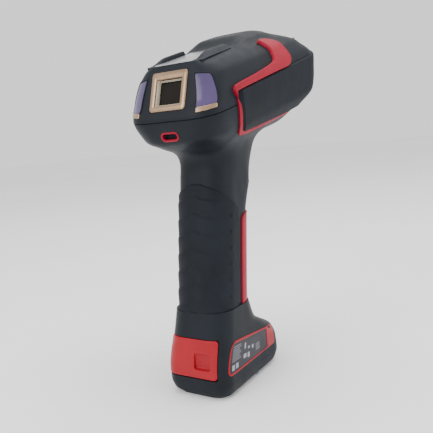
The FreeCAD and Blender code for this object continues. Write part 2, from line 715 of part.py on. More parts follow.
bulkhead_slab = group("bulkhead_slab_seated", [box("bulkhead_slab", (-reach, -reach, 2.4),
                                                   (12.5, reach, 5.4))], HANDLE)
bulkhead_holes = group("bulkhead_holes", [
    rod("bulkhead_hole_%d" % index, 0.7, 6, (2.5, y, 1)) for index, y in
    enumerate(contact_places)], HANDLE)
node("contact_bulkhead", cut("contact_bulkhead_plate", common("bulkhead_blank", grip_hollow,
                                                              bulkhead_slab), bulkhead_holes))
contact_pins = [rod("contact_pin_%d" % index, 0.7, 6.2, (2.5, y, pack_top + 0.5))
                for index, y in enumerate(contact_places)]
node("contact_pins", group("contact_pins_seated", contact_pins, HANDLE))

# ---------------------------------------------------------------- lower housing and handle

lower_solid = fuse("lower_solid", [common("lower_head", head_form, seam_low), grip_form])
lower_hollow = fuse("lower_hollow", [head_hollow, grip_hollow])
lower_shell = cut("lower_shell", lower_solid, lower_hollow)
lower_post_tool = common("lower_post_tool", head_tool("lower_post_set",
                                                      lower_posts + board_posts), head_form)
pivot_ears = group("pivot_ears_seated", [
    box("pivot_ear_left", (pin_x - 4, trigger_half + moving_gap, pin_z - 5),
        (pin_x + 4, 15, pin_z + 5)),
    box("pivot_ear_right", (pin_x - 4, -15, pin_z - 5),
        (pin_x + 4, -trigger_half - moving_gap, pin_z + 5))], HANDLE)
ears_inside = common("ears_inside", pivot_ears, grip_form)
lower_full = fuse("lower_full", [lower_shell, lower_post_tool, ears_inside])
lower_tools = fuse("lower_tools", [slot_outer, nose_opening, trigger_opening, pin_hole,
                                   head_tool("lower_holes", screw_holes),
                                   head_tool("lower_sinks", screw_sinks), board_hole_tool])
node("lower_housing", cut("lower_housing_shell", lower_full, lower_tools))

# ---------------------------------------------------------------- grip sleeve and front strip

grip_split = -0.5
sleeve_top = 15.0
sleeve_points = [(-reach, -54), (grip_split, -54), (grip_split, 6), (-6, 13),
                 (-12, sleeve_top), (-reach, sleeve_top)]
sleeve_block = slab("sleeve_block", sleeve_points, reach, HANDLE)
sleeve_skin = common("sleeve_skin", cut("grip_cover_shell", grip_cover, grip_form),
                     sleeve_block)
node("grip_sleeve", cut("grip_sleeve_clear", sleeve_skin, foot_form))
strip_points = [(9.5, -56.5), (reach, -56.5), (reach, 4.2), (13, 4.2), (9.5, -4)]
strip_cutter = slab("strip_cutter", strip_points, reach, HANDLE)
node("front_strip", cut("front_strip_clear", common("front_strip_skin",
                        cut("strip_shell", strip_cover, grip_form), strip_cutter), foot_form))

# ---------------------------------------------------------------- foot

plate_thick = size("plate_thick")
plate_slab = box("plate_slab", (-reach, -reach, -1), (reach, reach, plate_thick))
foot_slab = box("foot_slab", (-reach, -reach, plate_thick), (reach, reach, reach))
base_screw_places = ((24, 8), (24, -8), (2, 14), (2, -14))
base_posts = [rod("base_post_%d" % index, post_r, 12, (x, y, plate_thick))
              for index, (x, y) in enumerate(base_screw_places)]
base_holes = [rod("base_hole_%d" % index, screw_r, 12, (x, y, -1))
              for index, (x, y) in enumerate(base_screw_places)]
base_sinks = [rod("base_sink_%d" % index, screw_head_r + 0.1, 2.2, (x, y, -1))
              for index, (x, y) in enumerate(base_screw_places)]
base_shafts = [rod("base_shaft_%d" % index, screw_r, 9.8, (x, y, 1.2))
               for index, (x, y) in enumerate(base_screw_places)]
base_heads = [rod("base_head_%d" % index, screw_head_r, 0.9, (x, y, 0.3))
              for index, (x, y) in enumerate(base_screw_places)]
node("base_screws", fuse("base_screw_set", base_shafts + base_heads))

charge_places = (-5, 0, 5)
charge_slots = [box("charge_slot_%d" % index, (12, y - 1.5, -1), (18, y + 1.5, 4))
                for index, y in enumerate(charge_places)]
charge_pads = [box("charge_pad_%d" % index, (12, y - 1.5, 0.5), (18, y + 1.5, plate_thick))
               for index, y in enumerate(charge_places)]
node("charging_contacts", group("charge_pad_set", charge_pads))

latch_low = size("latch_low")
latch_high = size("latch_high")
latch_front = size("latch_front")
latch_right = size("latch_right")
latch_sweep = size("latch_sweep")
latch_block = box("latch_block", (-reach, -latch_right, latch_low),
                  (latch_front, reach, latch_high))
latch_opening = box("latch_opening", (-reach, -latch_right - moving_gap, latch_low - latch_sweep),
                    (latch_front + moving_gap, reach, latch_high + moving_gap + 0.1))
latch_pin_x = size("latch_pin_x")
latch_pin_z = size("latch_pin_z")
latch_pin_r = size("latch_pin_r")
ear_low_y = 10.0
ears = [box("latch_ear_right", (latch_pin_x - 1.4, -ear_low_y, plate_thick),
            (latch_pin_x + 1.8, -ear_low_y + 2, latch_pin_z + 1.8)),
        box("latch_ear_left", (latch_pin_x - 1.4, ear_low_y - 2, plate_thick),
            (latch_pin_x + 1.8, ear_low_y, latch_pin_z + 1.8))]
pin_reach = ear_low_y
latch_pin_hole = rod("latch_pin_hole", latch_pin_r, 2 * pin_reach,
                     (latch_pin_x, -pin_reach, latch_pin_z), "y")
ear_tool = cut("latch_ears", common("latch_ears_inside", fuse("latch_ear_pair", ears),
                                    foot_hollow),
               fuse("latch_ear_tools", [latch_pin_hole, battery_well]))

foot_solid = cut("foot_less_bay", foot_form, fuse("foot_bay", [grip_form, battery_well]))
base_plate_full = fuse("base_plate_full", [common("base_plate_blank", foot_solid, plate_slab),
                                           ear_tool])
node("base_plate", cut("base_plate_drilled", base_plate_full,
                       fuse("plate_tools", base_holes + base_sinks + charge_slots)))

label_low = size("label_low")
label_high = size("label_high")
label_front = size("label_front")
label_drop = size("label_drop")
label_rim = size("label_rim")
label_end = size("label_end")


def label_block(name, near, far, rear, margin, end):
    """Return a block with a falling top edge, which cuts a label window from one flank."""
    low = label_low + margin
    top = label_high - margin
    front = label_front - end
    return slab(name, [(rear + margin, low), (front, low), (front, top - label_drop),
                       (rear + margin, top)], far, low=near)


foot_shell = cut("foot_shell", foot_solid, foot_hollow)
flanks = {
    "left": (as_size(10), reach, size("label_rear_left")),
    "right": (-reach, as_size(-12), size("label_rear")),
}
label_holes = []
for side, (near, far, label_rear) in flanks.items():
    rim_block = label_block("rim_block_%s" % side, near, far, label_rear, 0, 0)
    plate_block = label_block("plate_block_%s" % side, near, far, label_rear, label_rim,
                              label_rim + label_end)
    label_blank = common("label_blank_%s" % side, foot_shell, rim_block)
    node("label_frame_%s" % side, cut("label_ring_%s" % side, label_blank, plate_block))
    node("label_plate_%s" % side, common("label_panel_%s" % side, foot_shell, plate_block))
    label_holes.append(rim_block)
shroud_shell = common("shroud_shell", foot_shell, foot_slab)
shroud_posts = common("shroud_posts", fuse("shroud_post_set", base_posts), foot_form)
shroud_full = fuse("shroud_full", [shroud_shell, shroud_posts])
shroud_tools = fuse("shroud_tools", label_holes + [latch_opening, battery_well] + base_holes)
node("base_shroud", cut("base_shroud_shell", shroud_full, shroud_tools))

# ---------------------------------------------------------------- battery latch

latch_plate = common("latch_plate", foot_shell, latch_block)
finger_pocket = box("finger_pocket", (-reach, -6, latch_low + 3.4),
                    (-foot_rear + 1.9, 3, latch_low + 11.6))
knuckle_half = ear_low_y - 2.3
knuckle = rod("latch_knuckle", 1.9, 2 * knuckle_half,
              (latch_pin_x, -knuckle_half, latch_pin_z), "y")
knuckle_web = box("knuckle_web", (-foot_rear + 1.5, -knuckle_half, latch_pin_z - 0.6),
                  (latch_pin_x, knuckle_half, latch_pin_z + 1.9))
latch_bore = rod("latch_bore", latch_pin_r + size("running_gap"), 2 * pin_reach,
                 (latch_pin_x, -pin_reach, latch_pin_z), "y")
latch_spring_half = 2.5
latch_spring_room = rod("latch_spring_room", 2.4, 2 * latch_spring_half + 0.6,
                        (latch_pin_x, -latch_spring_half - 0.3, latch_pin_z), "y")
bolt = box("latch_bolt", (-foot_rear + 2.2, -5, latch_high - 3), (latch_front + 1.5, 5,
                                                                  latch_high - 1))
latch_solid = fuse("latch_solid", [cut("latch_less_pocket", latch_plate, finger_pocket),
                                   knuckle, knuckle_web, bolt])
node("battery_latch", cut("battery_latch_lever", latch_solid,
                          fuse("latch_tools", [latch_bore, latch_spring_room])))
node("latch_pin", rod("latch_pin_rod", latch_pin_r, 2 * pin_reach,
                      (latch_pin_x, -pin_reach, latch_pin_z), "y"))
latch_coil = cut("latch_spring_coil",
                 rod("latch_spring_outer", latch_pin_r + 0.9, 2 * latch_spring_half,
                     (latch_pin_x, -latch_spring_half, latch_pin_z), "y"),
                 rod("latch_spring_inner", latch_pin_r + 0.2, 2 * latch_spring_half + 1,
                     (latch_pin_x, -latch_spring_half - 0.5, latch_pin_z), "y"))
node("latch_spring", latch_coil)

# ---------------------------------------------------------------- electronics in the head

board_half = size("board_half")
board_rear = size("board_rear")
board_front = size("board_front")
board_top = board_level + board_thick
board_blank = head_tool("board_blank", [box("board_plate", (board_rear, -board_half, board_level),
                                            (board_front, board_half, board_top))])
node("main_board", cut("main_board_drilled", board_blank,
                       fuse("main_board_tools", [board_hole_tool,
                            head_tool("board_clear", [rod("board_clear_%d" % index, post_r + 0.4,
                                                          40, (x, y, -30)) for index,
                                                      (x, y, seat_level) in
                                                      enumerate(head_screw_places)])])))
chips = [box("chip_%d" % index, (x, y, board_top), (x + wide, y + deep, board_top + 1.6))
         for index, (x, y, wide, deep) in enumerate(((30, -8, 12, 12), (45, 6, 9, 9),
                                                     (58, -14, 7, 7), (34, 8, 6, 5)))]
node("board_chips", group("chip_set", chips, HEAD))
antenna = box("antenna_strip", (30, -15, board_top), (38, -10.5, board_top + 1.2))
node("radio_module", group("radio_seated", [antenna], HEAD))
beeper = rod("beeper_can", 5.5, 4, (70, 8, board_top))
node("beeper", group("beeper_seated", [beeper], HEAD))
engine_low = -9.0
engine_shape = cut("engine_less_bore", box("engine_block", (86, -12, engine_low), (103, 12, 12)),
                   fuse("engine_bores", [rod("engine_lens_bore", 4.0, 6, (99, -6, 4), "x"),
                                         rod("engine_lamp_bore", 3.0, 6, (99, 6, 4), "x")]))
node("scan_engine", group("engine_seated", [engine_shape], HEAD))
node("engine_lenses", group("engine_lens_set", [
    rod("engine_lens", 4.0, 4.2, (99, -6, 4), "x"),
    rod("engine_lamp_lens", 3.0, 4.2, (99, 6, 4), "x")], HEAD))
bracket = cut("bracket_shape", box("bracket_block", (83.2, -12, board_top - 10), (86, 12, 10)),
              box("bracket_clear", (80, -board_half, board_level - 0.3),
                  (board_front + 0.5, board_half, board_top + 0.3)))
bracket_foot = box("bracket_foot", (83.2, -12, engine_low - 1.5), (103, 12, engine_low))
node("engine_bracket", group("bracket_seated", [fuse("bracket_solid", [bracket, bracket_foot])],
                             HEAD))

motor_x = 60.0
motor_z = 1.9
shaft_r = size("motor_shaft_r")
weight_r = size("weight_r")
motor_can = cut("motor_can_bored",
                rod("motor_can", 3.0, 9, (motor_x, -6, motor_z), "y"),
                rod("motor_bore", shaft_r + size("running_gap"), 7, (motor_x, -3, motor_z), "y"))
motor_cradle = box("motor_cradle", (motor_x - 3, -5.5, board_top), (motor_x + 3, 2.5, 0.2))
node("haptic_motor", group("motor_seated", [fuse("motor_solid", [
    motor_can, cut("motor_cradle_cut", motor_cradle,
                   rod("motor_cradle_bed", 2.9, 20, (motor_x, -10, motor_z), "y"))])], HEAD))
weight_disc = cut("weight_half", rod("weight_disc", weight_r, 3, (motor_x, 3.6, motor_z), "y"),
                  box("weight_half_off", (motor_x - 5, 3, motor_z + 0.6), (motor_x + 5, 7,
                                                                        motor_z + 6)))
shaft = rod("motor_shaft", shaft_r, 8.6, (motor_x, -2, motor_z), "y")
node("haptic_weight", group("weight_seated", [fuse("weight_solid", [weight_disc, shaft])], HEAD))

flex = fuse("flex_solid", [box("flex_drop", (39.6, -5, -38), (39.9, 5, board_level - 0.3)),
                           box("flex_top", (36, -5, board_level - 0.3), (39.9, 5, board_level))])
node("flex_cable", group("flex_seated", [flex], HEAD))

# ---------------------------------------------------------------- checks and files

doc.recompute()
for item in doc.Objects:
    if "Invalid" in item.State or "Error" in item.State:
        raise RuntimeError("%s failed: %s" % (item.Label, item.State))
labels = [item.Label for item in nodes]
if len(set(labels)) != len(labels) or len(labels) > 60:
    raise RuntimeError("node names repeat or are too many")
for item in nodes:
    if item.Shape.isNull() or not item.Shape.isValid() or item.Shape.Volume <= 0:
        raise RuntimeError("%s has no valid shape" % item.Label)
os.makedirs("parts", exist_ok=True)
for item in nodes:
    item.Shape.exportStep("parts/%s.step" % item.Label)
    print("%-24s %2d solids %9.1f mm3" % (item.Label, len(item.Shape.Solids), item.Shape.Volume))
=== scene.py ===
# %% [markdown]
# # A rugged barcode scanner on a pale floor
# The object is a cordless pistol-grip scanner: two black housings, rubber bumpers, red trims,
# a grip with ribs and a foot that holds the battery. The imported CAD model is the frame. Its
# nodes give every place and size, and this file gives the surfaces that the eye sees.

# %% Load the frame
import json
import math
import bmesh
import bpy
import numpy as np
from mathutils import Matrix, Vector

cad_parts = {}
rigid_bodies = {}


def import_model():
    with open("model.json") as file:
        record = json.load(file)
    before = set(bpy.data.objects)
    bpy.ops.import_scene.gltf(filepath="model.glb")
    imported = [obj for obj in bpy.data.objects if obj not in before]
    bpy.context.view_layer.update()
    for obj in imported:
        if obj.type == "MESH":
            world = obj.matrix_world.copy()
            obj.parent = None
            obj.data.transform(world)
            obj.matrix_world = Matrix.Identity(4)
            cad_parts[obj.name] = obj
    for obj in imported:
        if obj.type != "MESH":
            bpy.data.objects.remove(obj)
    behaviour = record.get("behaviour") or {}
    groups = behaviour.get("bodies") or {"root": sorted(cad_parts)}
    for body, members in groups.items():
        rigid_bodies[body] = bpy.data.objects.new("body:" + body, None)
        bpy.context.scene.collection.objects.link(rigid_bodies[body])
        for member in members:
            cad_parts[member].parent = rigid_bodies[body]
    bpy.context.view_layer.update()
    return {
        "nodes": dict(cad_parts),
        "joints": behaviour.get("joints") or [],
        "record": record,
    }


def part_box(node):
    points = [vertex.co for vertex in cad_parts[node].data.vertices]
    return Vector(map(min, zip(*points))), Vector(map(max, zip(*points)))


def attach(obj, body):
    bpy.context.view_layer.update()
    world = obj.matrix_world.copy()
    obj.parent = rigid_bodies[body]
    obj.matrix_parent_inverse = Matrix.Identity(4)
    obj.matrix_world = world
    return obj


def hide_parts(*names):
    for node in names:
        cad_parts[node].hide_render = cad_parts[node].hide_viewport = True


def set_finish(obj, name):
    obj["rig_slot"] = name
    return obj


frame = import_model()
NODES = frame["nodes"]
JOINTS = {joint["name"]: joint for joint in frame["joints"]}
MM = 0.001

# %% [markdown]
# ## Three frames
# A scanner is drawn in three tilted frames: the foot stands level, the handle leans forwards
# and the head is pitched up. The joints of the frame say how they lie: the battery slides
# along the handle, and the trigger pin and the vibration motor have known places in them.

# %% The handle frame and the head frame
slide_axis = np.array(JOINTS["battery_slide"]["axis"])
LEAN = math.atan2(-slide_axis[0], -slide_axis[2])
PITCH = math.radians(15.0)
TRIGGER_PIN = (15.0, 33.0)
MOTOR_PLACE = (60.0, 1.9)


def turned(angle):
    """Return the matrix of a turn about +Y: +Z goes towards +X for a positive angle."""
    return np.array([[math.cos(angle), 0, math.sin(angle)], [0, 1, 0],
                     [-math.sin(angle), 0, math.cos(angle)]])


def frame_through(angle, local, joint):
    """Return (turn, origin in mm) of a frame in which a joint lies at a local X and Z."""
    turn = turned(angle)
    place = np.array(JOINTS[joint]["pos_m"]) / MM
    return turn, place - turn @ np.array([local[0], 0, local[1]])


HANDLE = frame_through(LEAN, TRIGGER_PIN, "trigger_pull")
HEAD = frame_through(-PITCH, MOTOR_PLACE, "haptic_spin")
FOOT = (np.eye(3), np.zeros(3))


def to_row(points, place):
    """Turn local millimetres into metres of the row frame: p = (R q + origin) / 1000."""
    turn, origin = place
    return (points @ turn.T + origin) * MM


print("handle leans", round(math.degrees(LEAN), 2), "deg; head origin", HEAD[1].round(1))

# %% [markdown]
# ## Camera
# The camera looks from behind and from the right, level with the grip, and it is rolled so
# that the handle stands upright in view. It comes first, because every later choice is judged
# through it.

# %% Camera
LENS_MM = 46.56
SENSOR_MM = 36.0
VIEW_TURN = math.radians(32.0)
VIEW_DROP = math.radians(0.67)
DISTANCE = 300.0
SIDE_STEP = 2.4
look = np.array([math.cos(VIEW_TURN) * math.cos(VIEW_DROP),
                 math.sin(VIEW_TURN) * math.cos(VIEW_DROP), -math.sin(VIEW_DROP)])
right = np.array([math.sin(VIEW_TURN), -math.cos(VIEW_TURN), 0.0])
up = np.cross(right, look)
axes = HANDLE[0] @ np.column_stack([right, up, -look])
eye = to_row(-DISTANCE * look + SIDE_STEP * right, HANDLE)
camera_data = bpy.data.cameras.new("camera")
camera_data.lens = LENS_MM
camera_data.sensor_width = SENSOR_MM
camera_data.clip_start = 0.01
camera = bpy.data.objects.new("camera", camera_data)
bpy.context.scene.collection.objects.link(camera)
pose = np.eye(4)
pose[:3, :3] = axes
pose[:3, 3] = eye
camera.matrix_world = Matrix(pose.tolist())
bpy.context.scene.camera = camera
print("camera at", eye.round(3))

# %% [markdown]
# ## Outline forms
# A moulded shell is drawn as a stack of outlines. Each outline is a tapered lozenge: a rear
# flat, a rear corner arc, a straight side, a nose arc and a nose flat. A few chosen sections
# set the shape, and a smooth curve through their numbers fills the levels between them.


# %% Smooth tables and outline forms
def smooth_table(levels, rows, at):
    """Interpolate rows of numbers with cubic Hermite spans.

    The slope at each level is the limited average of the slopes beside it (zero where they
    change sign), so a curve never swings past the chosen values.
    """
    levels = np.asarray(levels, float)
    rows = np.asarray(rows, float)
    span = np.diff(levels)[:, None]
    slope = np.diff(rows, axis=0) / span
    tangent = np.zeros_like(rows)
    tangent[0], tangent[-1] = slope[0], slope[-1]
    same = slope[:-1] * slope[1:] > 0
    safe = np.where(same, slope[:-1] + slope[1:], 1.0)
    tangent[1:-1] = np.where(same, 2 * slope[:-1] * slope[1:] / safe, 0.0)
    at = np.clip(np.asarray(at, float), levels[0], levels[-1])
    index = np.clip(np.searchsorted(levels, at, side="right") - 1, 0, len(levels) - 2)
    width = span[index, 0][..., None]
    t = ((at - levels[index]) / width[..., 0])[..., None]
    return ((1 + 2 * t) * (1 - t) ** 2 * rows[index] + t * (1 - t) ** 2 * width * tangent[index]
            + t ** 2 * (3 - 2 * t) * rows[index + 1]
            - t ** 2 * (1 - t) * width * tangent[index + 1])


class Form:
    """A stack of outlines in one frame.

    A section is rear, front, half rear flat, half nose flat, rear radius, nose radius, in mm.
    """

    def __init__(self, place, sections):
        self.place = place
        self.levels = [entry[0] for entry in sections]
        self.rows = [entry[1:] for entry in sections]

    def shape(self, level):
        """Return the six outline numbers and the tilt of the side's normal at each level."""
        rear, front, flat_a, flat_b, round_a, round_b = np.moveaxis(
            smooth_table(self.levels, self.rows, level), -1, 0)
        run_x = (front - round_b) - (rear + round_a)
        run_y = flat_b - flat_a
        tilt = np.arctan2(run_y, run_x) + np.arccos((round_a - round_b) / np.hypot(run_x, run_y))
        return rear, front, flat_a, flat_b, round_a, round_b, tilt

    def around(self, level, s):
        """Return x and y of half the outline: s runs 0 rear centre, 1-2 rear arc, 2-3 side,
        3-4 nose arc, 5 nose centre; a negative s is the other half, with y negative."""
        rear, front, flat_a, flat_b, round_a, round_b, tilt = self.shape(level)
        half = np.abs(s)
        angle_a = math.pi + (tilt - math.pi) * np.clip(half - 1, 0, 1)
        angle_b = tilt * (1 - np.clip(half - 3, 0, 1))
        ax, ay = rear + round_a, flat_a
        bx, by = front - round_b, flat_b
        side = np.clip(half - 2, 0, 1)
        x_side = (ax + round_a * np.cos(tilt)) * (1 - side) + (bx + round_b * np.cos(tilt)) * side
        y_side = (ay + round_a * np.sin(tilt)) * (1 - side) + (by + round_b * np.sin(tilt)) * side
        pick = [half < 1, half < 2, half < 3, half < 4]
        x = np.select(pick, [rear + 0 * half, ax + round_a * np.cos(angle_a), x_side,
                             bx + round_b * np.cos(angle_b)], front)
        y = np.select(pick, [flat_a * half, ay + round_a * np.sin(angle_a), y_side,
                             by + round_b * np.sin(angle_b)], flat_b * (5 - half))
        return x, np.where(s < 0, -y, y)

    def s_at(self, level, x):
        """Return s on the rear arc, the side or the nose arc where the outline reaches x."""
        rear, front, flat_a, flat_b, round_a, round_b, tilt = self.shape(level)
        ax, bx = rear + round_a, front - round_b
        x_a, x_b = ax + round_a * np.cos(tilt), bx + round_b * np.cos(tilt)
        arc_a = np.arccos(np.clip((x - ax) / round_a, -1, 1))
        arc_b = np.arccos(np.clip((x - bx) / round_b, -1, 1))
        s_a = 1 + (arc_a - math.pi) / (tilt - math.pi)
        s_b = 4 - arc_b / tilt
        return np.where(x < x_a, s_a, np.where(x > x_b, s_b, 2 + (x - x_a) / (x_b - x_a)))

    def points(self, level, s):
        """Return local points of the surface for arrays of level and s."""
        x, y = self.around(level, s)
        return np.stack([x, y, level + 0 * x], axis=-1)


HEAD_LENGTH = 112.0
HEAD_TOP = 24.0
HEAD_BELLY = -23.5
REAR_SLOPE = 0.65
NOSE_SLOPE = 0.33
head_form = Form(HEAD, [
    (HEAD_BELLY, 19, HEAD_LENGTH - 27, 4, 10, 12, 13),
    (-16, 7.5, HEAD_LENGTH - 13, 5, 15, 18, 15),
    (-10, 0.6, HEAD_LENGTH - 3.5, 8, 19, 17, 16),
    (0, 0, HEAD_LENGTH, 13, 20, 14, 16),
    (8, REAR_SLOPE * 8, HEAD_LENGTH + NOSE_SLOPE * 8, 13, 20, 14, 16),
    (16, REAR_SLOPE * 16, HEAD_LENGTH + 2, 12.3, 10.5, 12.7, 20),
    (21, REAR_SLOPE * 21, HEAD_LENGTH - 7, 11.5, 7.5, 9, 16),
    (HEAD_TOP, REAR_SLOPE * HEAD_TOP, HEAD_LENGTH - 19, 10.5, 5.5, 4.5, 12),
])
grip_form = Form(HANDLE, [
    (-60, -15.2, 18.0, 3.6, 5.0, 12, 10.5),
    (-30, -15.6, 16.8, 3.6, 5.0, 12, 10.5),
    (0, -15.6, 16.6, 3.6, 5.0, 12, 10.5),
    (18, -15.6, 20.1, 3.6, 5.0, 12, 10.5),
    (36, -15.6, 23.1, 4.6, 6.0, 12, 10.5),
    (54, -10.0, 27.0, 5.6, 7.0, 12, 10.5),
])
foot_form = Form(FOOT, [
    (0, -32.5, 27, 7.3, 0.8, 7.5, 14),
    (3, -35, 30.5, 10.3, 3.8, 7.5, 14),
    (8, -36, 32, 11.3, 4.8, 7.5, 14),
    (15, -35.7, 31.4, 11.2, 4.7, 7.5, 14),
    (22, -34.9, 27.5, 9.9, 4.4, 8.5, 14),
    (27, -34.2, 18.5, 8.4, 4.9, 9.5, 13),
    (33, -33.2, 9.0, 6.9, 5.4, 10.5, 12),
    (44, -31.2, 4.2, 5.3, 5.5, 11.5, 11.3),
])
print("forms ready: head", head_form.points(np.array(0.0), np.array(5.0)).round(1))


# %% [markdown]
# ## From grids to meshes
# Every new piece starts as numpy grids. A closed body is a stack of loops whose ends are
# zipped flat. A thin piece, such as a trim, is laid on a body: the same grid stands out by
# its height and sinks in by its depth, and its rim joins the two.


# %% Mesh helpers
SHARP_FORM = math.radians(35)
SHARP_CUT = math.radians(30)
WELD = 2e-6
ZIP_ROWS = 6


def new_piece(name, points, faces, body="housing", slot=None, replaces=()):
    """Make a mesh object from points in metres, weld it, shade it smooth and let it ride."""
    mesh = bpy.data.meshes.new(name)
    mesh.from_pydata(points.reshape(-1, 3), [], faces)
    piece = bpy.data.objects.new(name, mesh)
    bpy.context.scene.collection.objects.link(piece)
    tidy_mesh(mesh)
    if slot:
        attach(piece, body)
        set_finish(piece, slot)
    if replaces:
        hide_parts(*replaces)
    return piece


def shade(mesh, angle):
    """Shade a mesh smooth, and keep the edges that turn by more than an angle sharp."""
    mesh.polygons.foreach_set("use_smooth", np.ones(len(mesh.polygons), bool))
    mesh.set_sharp_from_angle(angle=angle)


def tidy_mesh(mesh):
    """Merge coincident points, drop faces of no area and point all faces outwards."""
    work = bmesh.new()
    work.from_mesh(mesh)
    bmesh.ops.remove_doubles(work, verts=work.verts, dist=WELD)
    bmesh.ops.dissolve_degenerate(work, edges=work.edges, dist=WELD / 4)
    bmesh.ops.recalc_face_normals(work, faces=work.faces)
    work.to_mesh(mesh)
    work.free()
    shade(mesh, SHARP_FORM)
    mesh.update()


def grid_faces(rows, cols, start=0, wrap=False):
    """Return the quads of a grid of rows by columns whose points start at an index."""
    across = cols if wrap else cols - 1
    r, c = np.meshgrid(np.arange(rows - 1), np.arange(across), indexing="ij")
    n = (c + 1) % cols
    quads = np.stack([r * cols + c, r * cols + n, (r + 1) * cols + n, (r + 1) * cols + c], -1)
    return (quads.reshape(-1, 4) + start).tolist()


def loop_s():
    """Return s around a whole outline: half from rear to nose, and the other half back.

    The rear flat has 5 steps, each arc 14, the side 46 and the nose flat 6.
    """
    half = np.concatenate([np.linspace(start, start + 1, steps, endpoint=False)
                           for start, steps in enumerate((5, 14, 46, 14))]
                          + [np.linspace(4, 5, 7)])
    return np.concatenate([half, -half[-2:0:-1]])


def zipped(loops):
    """Close both ends of a stack of loops by zips: row k of a zip has y times (1 - k)."""
    k = np.linspace(0, 1, ZIP_ROWS + 1)[1:, None, None]
    low, high = (loop * (1 - k * [0, 1, 0]) for loop in (loops[0], loops[-1]))
    return np.concatenate([low[::-1], loops, high])


def normals_of(points):
    """Return unit normals of a grid from central differences along rows and columns."""
    along = np.gradient(points, axis=0)
    across = np.gradient(points, axis=1)
    normal = np.cross(along, across)
    return normal / np.maximum(np.linalg.norm(normal, axis=-1, keepdims=True), 1e-12)


def laid(name, points, height, depth=0.6, flip=False, **options):
    """Lay a thin piece on a surface grid: out by height and in by depth, along the normal."""
    normal = normals_of(points) * (-1 if flip else 1)
    outer = points + normal * (height * MM)[..., None]
    inner = points - normal * depth * MM
    rows, cols = points.shape[:2]
    count = rows * cols
    faces = grid_faces(rows, cols)
    faces += [face[::-1] for face in grid_faces(rows, cols, count)]
    for rim in (np.arange(cols), count - cols + np.arange(cols), np.arange(rows) * cols,
                np.arange(rows) * cols + cols - 1):
        faces += np.stack([rim[:-1], rim[1:], rim[1:] + count, rim[:-1] + count], 1).tolist()
    return new_piece(name, np.concatenate([outer.reshape(-1, 3), inner.reshape(-1, 3)]), faces,
                     **options)


def eased(count, edge):
    """Return fractions 0 to 1 that crowd together inside an edge at both ends.

    Edge positions follow 1 - cos of an even angle, which suits a quarter-round border.
    """
    near = edge * (1 - np.cos(np.linspace(0, math.pi / 2, 6)))
    middle = np.linspace(edge, 1 - edge, count)[1:-1]
    return np.concatenate([near, middle, 1 - near[::-1]])


def round_over(distance, radius):
    """Return a quarter-round profile: 0 at the border, 1 from one radius inwards."""
    e = np.clip(distance / radius, 0, 1)
    return np.sqrt(1 - (1 - e) ** 2)


def box_cutter(low, high, place, radius=0.0, segments=3):
    """Return a box in a local frame, with all its edges rounded, for carving."""
    work = bmesh.new()
    bmesh.ops.create_cube(work, size=1.0)
    low, high = np.array(low, float), np.array(high, float)
    corners = np.array([vert.co for vert in work.verts])
    places = to_row(low + (corners + 0.5) * (high - low), place)
    for vert, spot in zip(work.verts, places):
        vert.co = spot
    if radius:
        bmesh.ops.bevel(work, geom=work.edges[:], offset=radius * MM, segments=segments,
                        profile=0.5, affect="EDGES")
    return cutter_object(work)


def rod_cutter(radius, start, end, place):
    """Return a cylinder between two local points, for carving."""
    work = bmesh.new()
    bmesh.ops.create_cone(work, cap_ends=True, segments=32, radius1=1, radius2=1, depth=1)
    start, end = np.array(start, float), np.array(end, float)
    axis = (end - start) / np.linalg.norm(end - start)
    side = np.cross(axis, [0.0, 1.0, 0.1] if abs(axis[1]) < 0.9 else [1.0, 0, 0.1])
    side /= np.linalg.norm(side)
    basis = np.column_stack([side * radius, np.cross(axis, side) * radius, end - start])
    local = np.array([vert.co for vert in work.verts])
    places = to_row((start + end) / 2 + local @ basis.T, place)
    for vert, spot in zip(work.verts, places):
        vert.co = spot
    return cutter_object(work)


def cutter_object(work):
    """Turn a bmesh into a hidden cutter with outward faces."""
    bmesh.ops.recalc_face_normals(work, faces=work.faces)
    mesh = bpy.data.meshes.new("cutter")
    work.to_mesh(mesh)
    work.free()
    piece = bpy.data.objects.new("cutter", mesh)
    bpy.context.scene.collection.objects.link(piece)
    return piece


def carve(piece, cutters):
    """Cut cutters out of a piece, apply the cuts to its mesh and drop the cutters."""
    for cutter in cutters:
        step = piece.modifiers.new("step", "BOOLEAN")
        step.operation = "DIFFERENCE"
        step.object = cutter
        step.solver = "EXACT"
    ready = piece.evaluated_get(bpy.context.evaluated_depsgraph_get())
    mesh = bpy.data.meshes.new_from_object(ready)
    piece.modifiers.clear()
    piece.data = mesh
    shade(mesh, SHARP_CUT)
    for cutter in cutters:
        bpy.data.objects.remove(cutter)

# %% [markdown]
# ## Upper housing
# The upper housing is one moulding: it rises from the seam, rounds over at the shoulders and
# ends in a flat back with a shallow channel between two rails, and a dome in front of them.
# The head's surface is one function of height v and outline place s. Past the top outline, v
# runs on over the back to the centre line.

# %% Surface of the head
DOME = 4.0
CAP_RUN = 11.0
CROWN = 0.5


def soft_step(value):
    """Return 0 below 0, 1 above 1 and a smooth rise between: 3 v^2 - 2 v^3."""
    v = np.clip(value, 0, 1)
    return v * v * (3 - 2 * v)


def head_point(v, s):
    """Return local points of the head: level = min(v, top), and then y shrinks over the back.

    The dome adds height by the product of a rear edge, a nose fade and a side fade.
    """
    level = np.minimum(v, HEAD_TOP)
    k = np.clip((v - HEAD_TOP) / CAP_RUN, 0, 1)
    x, y = head_form.around(level, s)
    y = y * (1 - k)
    z = level + CROWN * (1 - (1 - k) ** 2)
    bump = soft_step((x - 53) / 11) * soft_step((106 - x) / 30) * soft_step((22 - np.abs(y)) / 12)
    return np.stack([x, y, z + DOME * bump * soft_step((z - 12) / 10)], axis=-1)


def foot_point(v, s):
    """Return local points of the foot's flank."""
    return foot_form.points(v, s)


def grip_point(v, s):
    """Return local points of the grip's flank."""
    return grip_form.points(v, s)


